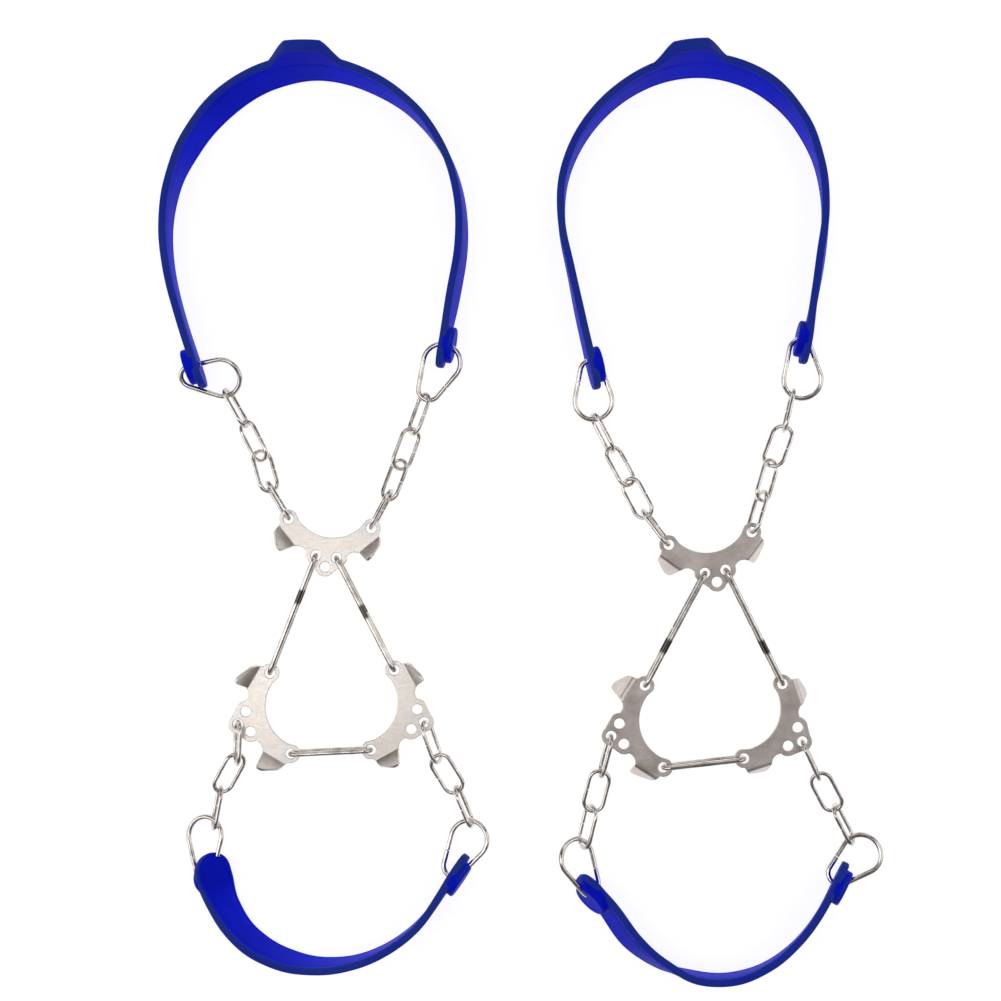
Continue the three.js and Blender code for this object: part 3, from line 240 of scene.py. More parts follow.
        (88.99, -200.5, 8.3, -10.85), (90.97, -200.28, 8.29, -11), (92.94, -199.94, 8.29, -11.18), (94.88, -199.5, 8.29, -11.75),
        (96.81, -198.96, 8.29, -12.59), (98.7, -198.34, 8.29, -13.6), (100.57, -197.64, 8.28, -14.64), (102.41, -196.87, 8.27, -15.62),
        (104.22, -196.03, 8.26, -16.41), (106, -195.12, 8.26, -16.9), (107.74, -194.14, 8.25, -17.01), (109.44, -193.09, 8.25, -17.21),
        (111.08, -191.95, 8.24, -17.58), (112.68, -190.76, 8.24, -18.07), (114.23, -189.5, 8.23, -18.61), (115.74, -188.2, 8.22, -19.14),
        (117.21, -186.85, 8.21, -19.59), (118.65, -185.46, 8.2, -19.9), (120.05, -184.04, 8.2, -20), (121.41, -182.58, 8.2, -20),
        (122.71, -181.06, 8.21, -20), (123.96, -179.5, 8.22, -20), (125.16, -177.91, 8.23, -20), (126.32, -176.29, 8.23, -20),
        (127.45, -174.64, 8.23, -20), (128.54, -172.97, 8.22, -20), (129.61, -171.28, 8.2, -19.99), (130.61, -169.56, 8.2, -19.84),
        (131.56, -167.8, 8.21, -19.54), (132.47, -166.03, 8.22, -19.15), (133.35, -164.23, 8.22, -18.74), (134.22, -162.44, 8.23, -18.37),
        (135.1, -160.65, 8.24, -18.1), (136, -158.87, 8.24, -18),
    )},
}

# ---------------------------------------------------------------- materials
def new_material(name):
    m = bpy.data.materials.new(name)
    m.use_nodes = True
    nt = m.node_tree
    nt.nodes.clear()
    out = nt.nodes.new("ShaderNodeOutputMaterial")
    bsdf = nt.nodes.new("ShaderNodeBsdfPrincipled")
    nt.links.new(bsdf.outputs[0], out.inputs[0])
    return m, nt, bsdf


def noise(nt, coords, scale, detail=3.0, rough=0.55, stretch=None):
    src = coords
    if stretch:
        mp = nt.nodes.new("ShaderNodeMapping")
        mp.inputs["Scale"].default_value = stretch
        nt.links.new(src, mp.inputs["Vector"])
        src = mp.outputs[0]
    n = nt.nodes.new("ShaderNodeTexNoise")
    n.inputs["Scale"].default_value = scale
    n.inputs["Detail"].default_value = detail
    n.inputs["Roughness"].default_value = rough
    nt.links.new(src, n.inputs["Vector"])
    return n.outputs["Fac"]


def ramp(nt, fac, stops):
    r = nt.nodes.new("ShaderNodeValToRGB")
    e = r.color_ramp.elements
    while len(e) < len(stops):
        e.new(0.5)
    for el, (p, c) in zip(e, stops):
        el.position = p
        el.color = (*c, 1.0) if len(c) == 3 else c
    nt.links.new(fac, r.inputs[0])
    return r.outputs[0]


def span(nt, fac, lo, hi, a=0.0, b=1.0):
    n = nt.nodes.new("ShaderNodeMapRange")
    n.inputs["From Min"].default_value = lo
    n.inputs["From Max"].default_value = hi
    n.inputs["To Min"].default_value = a
    n.inputs["To Max"].default_value = b
    nt.links.new(fac, n.inputs["Value"])
    return n.outputs[0]


def math_node(nt, op, a, b=None):
    n = nt.nodes.new("ShaderNodeMath")
    n.operation = op
    for i, v in enumerate((a, b)):
        if v is None:
            continue
        if isinstance(v, (int, float)):
            n.inputs[i].default_value = v
        else:
            nt.links.new(v, n.inputs[i])
    return n.outputs[0]


def bump(nt, bsdf, layers):
    """layers: (height socket, distance in metres, strength)."""
    normal = None
    for h, dist, strength in layers:
        b = nt.nodes.new("ShaderNodeBump")
        b.inputs["Strength"].default_value = strength
        b.inputs["Distance"].default_value = dist
        nt.links.new(h, b.inputs["Height"])
        if normal is not None:
            nt.links.new(normal, b.inputs["Normal"])
        normal = b.outputs[0]
    nt.links.new(normal, bsdf.inputs["Normal"])


def object_coords(nt):
    return nt.nodes.new("ShaderNodeTexCoord").outputs["Object"]


def uv_coords(nt):
    return nt.nodes.new("ShaderNodeTexCoord").outputs["UV"]


def steel_wire(name="drawn_wire", painted_reflection_at=()):
    """The second argument lists distances along the wire, in metres, where a dark reflection is painted into the
    colour.
    """
    m, nt, b = new_material(name)
    co = object_coords(nt)
    uv = uv_coords(nt)
    b.inputs["Metallic"].default_value = 1.0
    # bright drawn wire, with faint lengthwise draw lines and tumbling marks
    patches = noise(nt, co, 160.0, 3.0, 0.6)
    fine = noise(nt, co, 1400.0, 2.0, 0.6)
    draw = noise(nt, uv, 1.0, 3.0, 0.6, stretch=(22.0, 900.0, 1.0))
    tone = ramp(nt, patches, [(0.30, WIRE_DARK), (0.48, WIRE_MID), (0.66, WIRE_LIGHT)])
    mix = nt.nodes.new("ShaderNodeMixRGB")
    mix.blend_type = "MULTIPLY"
    mix.inputs[0].default_value = 0.30
    nt.links.new(tone, mix.inputs[1])
    nt.links.new(ramp(nt, draw, [(0.30, (0.70, 0.66, 0.62)), (0.55, (1.0, 1.0, 1.0))]), mix.inputs[2])
    # mix towards near black: a painted dark reflection, switched on only at the listed distances
    painted_reflection_mix = nt.nodes.new("ShaderNodeMixRGB")
    painted_reflection_mix.blend_type = "MIX"
    painted_reflection_mix.inputs[0].default_value = 0.0
    painted_reflection_mix.inputs[2].default_value = (0.06, 0.045, 0.035, 1.0)
    nt.links.new(mix.outputs[0], painted_reflection_mix.inputs[1])
    # painted dark reflections: the colour goes to near black within a few millimetres of each listed distance
    if painted_reflection_at:
        along = nt.nodes.new("ShaderNodeSeparateXYZ")
        nt.links.new(uv, along.inputs[0])
        dark = None
        for at in painted_reflection_at:
            away = math_node(nt, "ABSOLUTE", math_node(nt, "SUBTRACT", along.outputs[0], at))
            one = span(nt, away, 0.0026, 0.0040, 0.95, 0.0)
            dark = one if dark is None else math_node(nt, "MAXIMUM", dark, one)
        nt.links.new(dark, painted_reflection_mix.inputs[0])
    nt.links.new(painted_reflection_mix.outputs[0], b.inputs["Base Color"])
    rough = math_node(nt, "ADD", span(nt, patches, 0.3, 0.7, 0.10, 0.20), span(nt, fine, 0.3, 0.7, -0.02, 0.04))
    nt.links.new(rough, b.inputs["Roughness"])
    bump(nt, b, [(draw, 0.00002, 0.4), (fine, 0.000015, 0.3), (patches, 0.00006, 0.3)])
    return m


def steel_sheet(name, dark, light, rough_lo, rough_hi):
    m, nt, b = new_material(name)
    co = object_coords(nt)
    b.inputs["Metallic"].default_value = 1.0
    # tumbled sheet: rolled grain one way, small pits
    cloud = noise(nt, co, 90.0, 4.0, 0.6)
    grain = noise(nt, co, 260.0, 4.0, 0.65, stretch=(1.0, 9.0, 1.0))
    pits = noise(nt, co, 1500.0, 2.0, 0.5)
    tone = ramp(nt, cloud, [(0.32, dark), (0.50, tuple((d + l) / 2 for d, l in zip(dark, light))), (0.68, light)])
    mix = nt.nodes.new("ShaderNodeMixRGB")
    mix.blend_type = "MULTIPLY"
    mix.inputs[0].default_value = 0.35
    nt.links.new(tone, mix.inputs[1])
    nt.links.new(ramp(nt, grain, [(0.30, (0.62, 0.60, 0.58)), (0.60, (1.0, 1.0, 1.0))]), mix.inputs[2])
    nt.links.new(mix.outputs[0], b.inputs["Base Color"])
    rough = math_node(nt, "ADD", span(nt, cloud, 0.3, 0.7, rough_lo, rough_hi), span(nt, pits, 0.3, 0.7, -0.04, 0.06))
    nt.links.new(rough, b.inputs["Roughness"])
    bump(nt, b, [(grain, 0.00002, 0.30), (pits, 0.00002, 0.45)])
    return m


def silicone():
    m, nt, b = new_material("moulded_silicone")
    co = object_coords(nt)
    uv = uv_coords(nt)
    # saturated blue with slight depth; moulding leaves faint lengthwise lines
    cloud = noise(nt, co, 40.0, 3.0, 0.5)
    lines = noise(nt, uv, 1.0, 3.0, 0.6, stretch=(6.0, 420.0, 1.0))
    grit = noise(nt, co, 2600.0, 2.0, 0.6)
    tone = ramp(nt, cloud, [(0.30, BLUE_DEEP), (0.52, BLUE), (0.72, BLUE_BRIGHT)])
    mix = nt.nodes.new("ShaderNodeMixRGB")
    mix.blend_type = "MIX"
    nt.links.new(span(nt, lines, 0.50, 0.78, 0.0, 0.10), mix.inputs[0])
    nt.links.new(tone, mix.inputs[1])
    mix.inputs[2].default_value = (0.008, 0.030, 0.60, 1.0)
    # painted sheen: the band's rounded edges and the upper face of the tab, weighted by the rim attribute, are painted
    # a greyer blue that stands in for light from above
    rim = nt.nodes.new("ShaderNodeAttribute")
    rim.attribute_name = "rim"
    painted_sheen_mix = nt.nodes.new("ShaderNodeMixRGB")
    painted_sheen_mix.blend_type = "MIX"
    nt.links.new(math_node(nt, "MULTIPLY", rim.outputs["Fac"], span(nt, cloud, 0.25, 0.75, 0.55, 1.0)), painted_sheen_mix.inputs[0])
    nt.links.new(mix.outputs[0], painted_sheen_mix.inputs[1])
    painted_sheen_mix.inputs[2].default_value = (0.020, 0.045, 0.27, 1.0)
    nt.links.new(painted_sheen_mix.outputs[0], b.inputs["Base Color"])
    rough = math_node(nt, "ADD", span(nt, cloud, 0.3, 0.7, 0.46, 0.56), span(nt, lines, 0.3, 0.7, -0.04, 0.05))
    nt.links.new(rough, b.inputs["Roughness"])
    b.inputs["Specular IOR Level"].default_value = 0.04
    b.inputs["Subsurface Weight"].default_value = 0.05
    b.inputs["Subsurface Radius"].default_value = (0.10, 0.20, 1.0)
    b.inputs["Subsurface Scale"].default_value = 0.0015
    bump(nt, b, [(lines, 0.00010, 0.35), (grit, 0.00002, 0.4)])
    return m


WIRE_DARK = (0.42, 0.37, 0.33)
WIRE_MID = (0.68, 0.63, 0.59)
WIRE_LIGHT = (0.85, 0.81, 0.77)
BLUE_DEEP = (0.0008, 0.0060, 0.52)
BLUE = (0.0010, 0.0085, 0.62)
BLUE_BRIGHT = (0.0020, 0.0120, 0.70)
wire_material = steel_wire()
# the same stamped steel in two copies, painted lighter for cleat a and darker for cleat b, for the light and shade that
# fall on each
sheet_painted_lit = steel_sheet("tumbled_sheet_painted_lit", (0.68, 0.62, 0.57), (0.88, 0.83, 0.78), 0.30, 0.42)
sheet_painted_shaded = steel_sheet("tumbled_sheet_painted_shaded", (0.60, 0.52, 0.48), (0.82, 0.74, 0.69), 0.34, 0.46)
blue = silicone()


# ---------------------------------------------------------------- helpers
def mesh_object(name, verts, faces, material, uvs=None, smooth=True):
    me = bpy.data.meshes.new(name)
    me.from_pydata([tuple(v) for v in verts], [], faces)
    me.validate()
    if uvs is not None:
        layer = me.uv_layers.new(name="UVMap")
        for loop in me.loops:
            layer.data[loop.index].uv = uvs[loop.vertex_index]
    me.materials.append(material)
    me.polygons.foreach_set("use_smooth", [smooth] * len(me.polygons))
    me.update()
    o = bpy.data.objects.new(name, me)
    bpy.context.scene.collection.objects.link(o)
    return o


def sharpen(o, degrees=38.0):
    """Smooth shading that keeps the edges sharper than this."""
    bm = bmesh.new()
    bm.from_mesh(o.data)
    limit = math.radians(degrees)
    for e in bm.edges:
        e.smooth = len(e.link_faces) == 2 and e.calc_face_angle(0.0) < limit
    bm.to_mesh(o.data)
    bm.free()


def outward(o):
    bm = bmesh.new()
    bm.from_mesh(o.data)
    bmesh.ops.recalc_face_normals(bm, faces=bm.faces)
    bm.to_mesh(o.data)
    bm.free()


def place(o, node):
    x, y, z, *axes = FRAMES[node]
    d, l = Vector(axes[:3]).normalized(), Vector(axes[3:]).normalized()
    n = d.cross(l)
    o.matrix_world = Matrix((
        (d.x * MM, l.x * MM, n.x * MM, x * MM),
        (d.y * MM, l.y * MM, n.y * MM, y * MM),
        (d.z * MM, l.z * MM, n.z * MM, z * MM),
        (0, 0, 0, 1)))
    bpy.context.view_layer.update()
    o.data.transform(o.matrix_world)
    o.matrix_world = Matrix.Identity(4)


def stand_for(o, node):
    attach(o, node)
    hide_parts(node)


# ---------------------------------------------------------------- bent wire
def smoothstep(x):
    x = min(1.0, max(0.0, x))
    return x * x * (3 - 2 * x)


def arc_points(cx, cy, r, a0, a1, n, first=0):
    out = []
    for i in range(first, n + 1):
        a = a0 + (a1 - a0) * i / n
        out.append((cx + r * math.cos(a), cy + r * math.sin(a), -math.sin(a), math.cos(a)))
    return out


def straight(p, q, n):
    """Points strictly between p and q, which are (x, y, tx, ty)."""
    return [tuple(p[k] + (q[k] - p[k]) * i / n for k in range(4)) for i in range(1, n)]


def oval_line(size):
    w, r = size["wire"], (size["width"] - size["wire"]) / 2
    l, q, e = size["length"] - size["wire"], math.pi / 2, BUTT_GAP / 2
    far = arc_points(l - r, 0, r, -q, q, 18)
    near = arc_points(r, 0, r, q, 3 * q, 18)
    a, b = (l / 2 + e, -r, 1, 0), (l / 2 - e, -r, 1, 0)
    n = max(5, int((l / 2 - r) / 1.2))
    return [a, *straight(a, far[0], n), *far, *straight(far[-1], near[0], 2 * n), *near,
            *straight(near[-1], b, n), b]


def pear_line(side):
    wide, narrow, c = RING["wide"], RING["narrow"], RING["centres"]
    t = math.asin((wide - narrow) / c)
    cs, sn = math.cos(t), math.sin(t)
    p0 = (wide * sn, -wide * cs)
    p1 = (c + narrow * sn, -narrow * cs)
    run = math.sqrt(c ** 2 - (wide - narrow) ** 2)

    def low(k):
        return (p0[0] + (p1[0] - p0[0]) * k, p0[1] + (p1[1] - p0[1]) * k, cs, sn)

    a = math.pi / 2 - t
    e = BUTT_GAP / 2 / run
    small = arc_points(c, 0, narrow, -a, a, 18)
    big = arc_points(0, 0, wide, a, 2 * math.pi - a, 34)
    s, f = low(0.55 + e), low(0.55 - e)
    pts = [s, *straight(s, small[0], 5), *small, *straight(small[-1], big[0], 10), *big,
           *straight(big[-1], f, 5), f]
    if side < 0:
        pts = [(x, -y, -tx, ty) for x, y, tx, ty in reversed(pts)]
    return pts


def sweep(points, wire, sides=18):
    """Round bar along a planar line, with a small chamfer at both cut ends."""
    r = wire / 2
    rings, length = [], 0.0
    rows = [(0.0, points[0], 0.80), *((None, p, 1.0) for p in points), (0.0, points[-1], 0.80)]
    chamfer = 0.16
    verts, uvs = [], []
    prev = None
    for k, (_, (x, y, tx, ty), scale) in enumerate(rows):
        t = math.hypot(tx, ty)
        tx, ty = tx / t, ty / t
        if k == 1:
            x, y = x + tx * chamfer, y + ty * chamfer
        elif k == len(rows) - 2:
            x, y = x - tx * chamfer, y - ty * chamfer
        if prev is not None:
            length += math.hypot(x - prev[0], y - prev[1])
        prev = (x, y)
        for i in range(sides):
            a = i / sides * 2 * math.pi
            across, up = r * scale * math.cos(a), r * scale * math.sin(a)
            verts.append((x - ty * across, y + tx * across, up))
            uvs.append((length * MM, i / sides * math.pi * wire * MM))
    m = len(rows)
    faces = []
    for k in range(m - 1):
        for i in range(sides):
            j = (i + 1) % sides
            faces.append((k * sides + i, k * sides + j, (k + 1) * sides + j, (k + 1) * sides + i))
    faces.append(tuple(range(sides)))
    faces.append(tuple((m - 1) * sides + i for i in range(sides)))
    return verts, faces, uvs


def painted_reflection_wire(name, size, share):
    """Wire for a long loop, with a painted dark reflection on both runs at this share from the middle to the far end.
    """
    r = (size["width"] - size["wire"]) / 2
    l = size["length"] - size["wire"]
    at = l / 2 + share * l / 2
    total = 2 * (l - 2 * r) + 2 * math.pi * r
    near_run = at - l / 2 if share >= 0 else total - (l / 2 - at)
    far_run = (l / 2 - r) + math.pi * r + (l - r - at)
    return steel_wire(name, (near_run * MM, far_run * MM))


def wire_piece(node, points, wire):
    verts, faces, uvs = sweep(points, wire)
    o = mesh_object(f"{node}_wire", verts, faces, LOOP_WIRE.get(node, wire_material), uvs)
    outward(o)
    sharpen(o, 40)
    place(o, node)
    outward(o)
    stand_for(o, node)
    return o


# side loops whose materials carry painted dark reflections on their runs
LOOP_WIRE = {
    "a_side_wire_l": painted_reflection_wire("loop_wire_a_l", SIDE_WIRE, -0.30),
    "a_side_wire_r": painted_reflection_wire("loop_wire_a_r", SIDE_WIRE, -0.04),
    "b_side_wire_l": painted_reflection_wire("loop_wire_b_l", SIDE_WIRE, 0.30),
    "b_side_wire_r": painted_reflection_wire("loop_wire_b_r", SIDE_WIRE, 0.34),
}
RING_SIDE = {
    "a_heel_ring_l": 1, "a_heel_ring_r": -1, "a_toe_ring_l": -1, "a_toe_ring_r": 1,
    "b_heel_ring_l": -1, "b_heel_ring_r": 1, "b_toe_ring_l": -1, "b_toe_ring_r": 1,
}
link_line, side_line, cross_line = oval_line(LINK), oval_line(SIDE_WIRE), oval_line(CROSS_WIRE)
rings = {}
for node in FRAMES:
    if "_link_" in node:
        wire_piece(node, link_line, LINK["wire"])
    elif "_ring_" in node:
        rings[node] = wire_piece(node, pear_line(RING_SIDE[node]), RING["wire"])
    elif "_side_wire_" in node:
        wire_piece(node, side_line, SIDE_WIRE["wire"])
    elif "_cross_wire" in node:
        wire_piece(node, cross_line, CROSS_WIRE["wire"])


# ---------------------------------------------------------------- stamped plate
def rounded(points, radius, n=4):
    """Rounds the corners that are listed as (x, y, r)."""
    out = []
    m = len(points)
    for i, (x, y, r) in enumerate(points):
        if r <= 0:
            out.append((x, y))
            continue
        p, q, s = Vector(points[i - 1][:2]), Vector((x, y)), Vector(points[(i + 1) % m][:2])
        a, b = (p - q), (s - q)
        k = min(r, a.length * 0.45, b.length * 0.45)
        a, b = q + a.normalized() * k, q + b.normalized() * k
        for j in range(n + 1):
            t = j / n
            v = a.lerp(q, t).lerp(q.lerp(b, t), t)
            out.append((v.x, v.y))
    return out


def plate_outline():
    """Right half of the flat blank, tooth unfolded: from the middle of the
    concave edge round to the tip of the lug."""
    P = PLATE
    pts = []
    for u in np.linspace(0, 13.4, 15):
        pts.append((float(u), P["arc_v"] + math.sqrt(P["arc_r"] ** 2 - float(u) ** 2), 0))
    for i in range(0, 21):
        a = math.radians(228 + (392 - 228) * i / 20)
        pts.append((P["end"] + P["lobe"] * math.cos(a), P["lobe"] * math.sin(a), 0))
    # unfolded tooth, x along the bend line and y outwards from it
    B, H = TOOTH["base"], TOOTH["height"] - 0.22
    bx, by = -0.7078, 0.7064
    ox, oy = 0.7064, 0.7078
    x0, y0 = 22.6, 4.1
    for x, y, r in [(0.0, 0.2, 0.3), (0.1, 1.6, 0.5), (0.9, 4.4, 0.8), (B - 5.2, H - 1.1, 0.5), (B - 3.6, H, 0.4),
                    (B - 1.7, H, 0.3), (B - 1.0, H - 1.0, 0.3), (B, 0.9, 0.4)]:
        y -= 0.35
        pts.append((x0 + bx * x + ox * y, y0 + by * x + oy * y, r))
    pts.append((14.9, 11.8, 0.5))
    pts.append((12.6, 11.1, 1.2))
    pts.append((10.4, 11.6, 1.4))
    for i in range(0, 7):
        a = math.radians(-18 + 63 * i / 6)
        pts.append((P["small"][0] + 0.6 + 3.95 * math.cos(a), P["small"][1] + 3.95 * math.sin(a), 0))
    for i in range(0, 9):
        a = math.radians(28 + 62 * i / 8)
        r = P["hole"] / 2 + 1.9
        pts.append((r * math.cos(a), P["lug"] + r * math.sin(a), 0))
    right = rounded(pts, 0)
    right = [p for i, p in enumerate(right) if i == 0 or p[0] > 1e-4]
    left = [(-u, v) for u, v in reversed(right) if u > 1e-4]
    top = (0.0, PLATE["lug"] + PLATE["hole"] / 2 + 1.9)
    return right + [top] + left


def plate_mesh():
    P = PLATE
    bm = bmesh.new()
    edges = []

    def loop(points):
        vs = [bm.verts.new((x, y, 0)) for x, y in points]
        for i in range(len(vs)):
            edges.append(bm.edges.new((vs[i], vs[(i + 1) % len(vs)])))

    outline = plate_outline()
    clean = [outline[0]]
    for p in outline[1:]:
        if math.dist(p, clean[-1]) > 0.08:
            clean.append(p)
    loop(clean)
    for u, v in [(-P["end"], 0), (P["end"], 0), (-P["small"][0], P["small"][1]), (P["small"][0], P["small"][1]),
                 (0, P["lug"])]:
        r = P["hole"] / 2
        loop([(u + r * math.cos(i / 32 * 2 * math.pi), v + r * math.sin(i / 32 * 2 * math.pi)) for i in range(32)])
    bmesh.ops.triangle_fill(bm, edges=edges, use_beauty=True)
    bm.normal_update()
    for f in bm.faces:
        if f.normal.z < 0:
            f.normal_flip()
    bmesh.ops.translate(bm, verts=bm.verts, vec=(0, 0, -P["thickness"] / 2))
    out = bmesh.ops.extrude_face_region(bm, geom=list(bm.faces))
    top = [v for v in out["geom"] if isinstance(v, bmesh.types.BMVert)]
    bmesh.ops.translate(bm, verts=top, vec=(0, 0, P["thickness"]))
    bmesh.ops.recalc_face_normals(bm, faces=bm.faces)
    bmesh.ops.dissolve_limit(bm, angle_limit=0.001, verts=bm.verts, edges=bm.edges)
    # stamped edges: a soft roll-over all round
    rim = [e for e in bm.edges if len(e.link_faces) == 2 and e.calc_face_angle(0) > math.radians(60)
           and abs(e.verts[0].co.z - e.verts[1].co.z) < 1e-5]
    bmesh.ops.bevel(bm, geom=rim, offset=0.24, segments=3, profile=0.5, affect="EDGES", clamp_overlap=True)
    bmesh.ops.triangulate(bm, faces=[f for f in bm.faces if len(f.verts) > 4])
    # rows across each bend, then the bend itself
    angle, r = math.radians(TOOTH["bend"]), TOOTH["radius"]
    tangent, arc_len = r * math.tan(angle / 2), r * angle
    for side in (1, -1):
        o = Vector((0.7064 * side, 0.7078, 0))
        base = Vector((22.6 * side, 4.1, 0)) - o * 0.35
        for i in range(0, 8):
            q = -tangent + arc_len * i / 7
            p = base + o * q
            bmesh.ops.bisect_plane(bm, geom=[*bm.verts, *bm.edges, *bm.faces], plane_co=p, plane_no=o, dist=1e-5)
        for v in bm.verts:
            if v.co.x * side < 9.0:
                continue
            q = (v.co - base).dot(o) + tangent
            # the lobe round the end hole stays flat
            along = (v.co - base).dot(Vector((-0.7078 * side, 0.7064, 0)))
            if q <= 0 or along < -0.6 or along > TOOTH["base"] + 0.8:
                continue
            t = v.co.z
            foot = v.co - o * (q - tangent) - Vector((0, 0, t))
            if q < arc_len:
                a = q / r
                mid = o * (-tangent + r * math.sin(a)) + Vector((0, 0, -r * (1 - math.cos(a))))
            else:
                a = angle
                rest = q - arc_len
                mid = o * (-tangent + r * math.sin(a) + rest * math.cos(a)) \
                    + Vector((0, 0, -r * (1 - math.cos(a)) - rest * math.sin(a)))
            v.co = foot + mid + (o * math.sin(a) + Vector((0, 0, math.cos(a)))) * t
    bmesh.ops.remove_doubles(bm, verts=bm.verts, dist=1e-4)
    bmesh.ops.recalc_face_normals(bm, faces=bm.faces)
    me = bpy.data.meshes.new("stamped_plate")
    # the blank is flat but for its rolled rim and the two bends
    flats = [Vector((0, 0, 1)), *(Vector((0.7064 * side * math.sin(angle), 0.7078 * math.sin(angle), math.cos(angle)))
                                  for side in (1, -1))]
    for f in bm.faces:
        f.smooth = all(abs(f.normal.dot(n)) < 0.99995 for n in flats)
    bm.to_mesh(me)
    bm.free()
    return me


plate_shape = plate_mesh()
for node in FRAMES:
    if node.endswith("_plate") or "_side_plate_" in node:
        me = plate_shape.copy()
        # cleat a's plates take the copy painted lighter, cleat b's the copy painted darker
        me.materials.append(sheet_painted_lit if node.startswith("a_") else sheet_painted_shaded)
        o = bpy.data.objects.new(f"{node}_sheet", me)
        bpy.context.scene.collection.objects.link(o)
        place(o, node)
        sharpen(o, 34)
        stand_for(o, node)


# ---------------------------------------------------------------- straps
class Strap:
    """A band that stands on its edge along a curved middle line."""

    def __init__(self, spec):
        rows = np.array(spec["line"], float)
        self.length, self.turn, self.boss, self.crown = spec["length"], spec["turn"], spec["boss"], spec["crown"]
        s = np.linspace(0, self.length, len(rows))
        fine = np.arange(0, self.length + 0.25, 0.5)
        # light smoothing takes the small kinks out of the sampled line
        pad = 24
        data = np.stack([np.interp(fine, s, rows[:, k]) for k in range(4)], 1)
        ext = np.vstack([data[0] + (data[0] - data[1]) * np.arange(pad, 0, -1)[:, None], data,
                         data[-1] + (data[-1] - data[-2]) * np.arange(1, pad + 1)[:, None]])
        ext[:pad, 2:] = data[0, 2:]
        ext[-pad:, 2:] = data[-1, 2:]
        k = np.exp(-0.5 * (np.arange(-16, 17) / 6.0) ** 2)
        k /= k.sum()
        sm = np.stack([np.convolve(ext[:, j], k, mode="same") for j in range(4)], 1)[pad:-pad]
        w = np.clip(np.minimum(fine, self.length - fine) / 8.0, 0, 1)[:, None]
        self.s = fine
        self.data = data * (1 - w) + sm * w
        self.grad = np.gradient(self.data[:, :2], fine, axis=0)

    def at(self, s):
        c = min(max(s, 0.0), self.length)
        x, y, z, lean = (float(np.interp(c, self.s, self.data[:, k])) for k in range(4))
        dx, dy = (float(np.interp(c, self.s, self.grad[:, k])) for k in range(2))
        n = math.hypot(dx, dy)
        d = Vector((dx / n, dy / n, 0))
        p = Vector((x, y, z)) + d * (s - c)
        out = Vector((-d.y, d.x, 0)) * self.turn
        a = math.radians(lean)
        w = Vector((0, 0, math.cos(a))) + out * math.sin(a)
        n = out * math.cos(a) - Vector((0, 0, 1)) * math.sin(a)
        return p, d, w, n

    def point(self, s, along, t, h):
        p, d, w, n = self.at(s)
        return p + d * along + n * t + w * h


H2, T2 = BAND["height"] / 2, BAND["thickness"] / 2


def half_height(e):
    """Half of the band's height at a distance e from its rounded end."""
    if e >= H2:
        return H2
    return math.sqrt(max(0.0, H2 ** 2 - (H2 - e) ** 2))


def groove(h, top):
    """Depth of the lengthwise lines moulded in both faces, h from the middle."""
    d = 0.0
    for at, depth, width in ((top - 2.1, 0.16, 0.42), (top - 3.3, 0.10, 0.36), (-top + 2.1, 0.16, 0.42)):
        d += depth * math.exp(-((h - at) / width) ** 2)
    return d


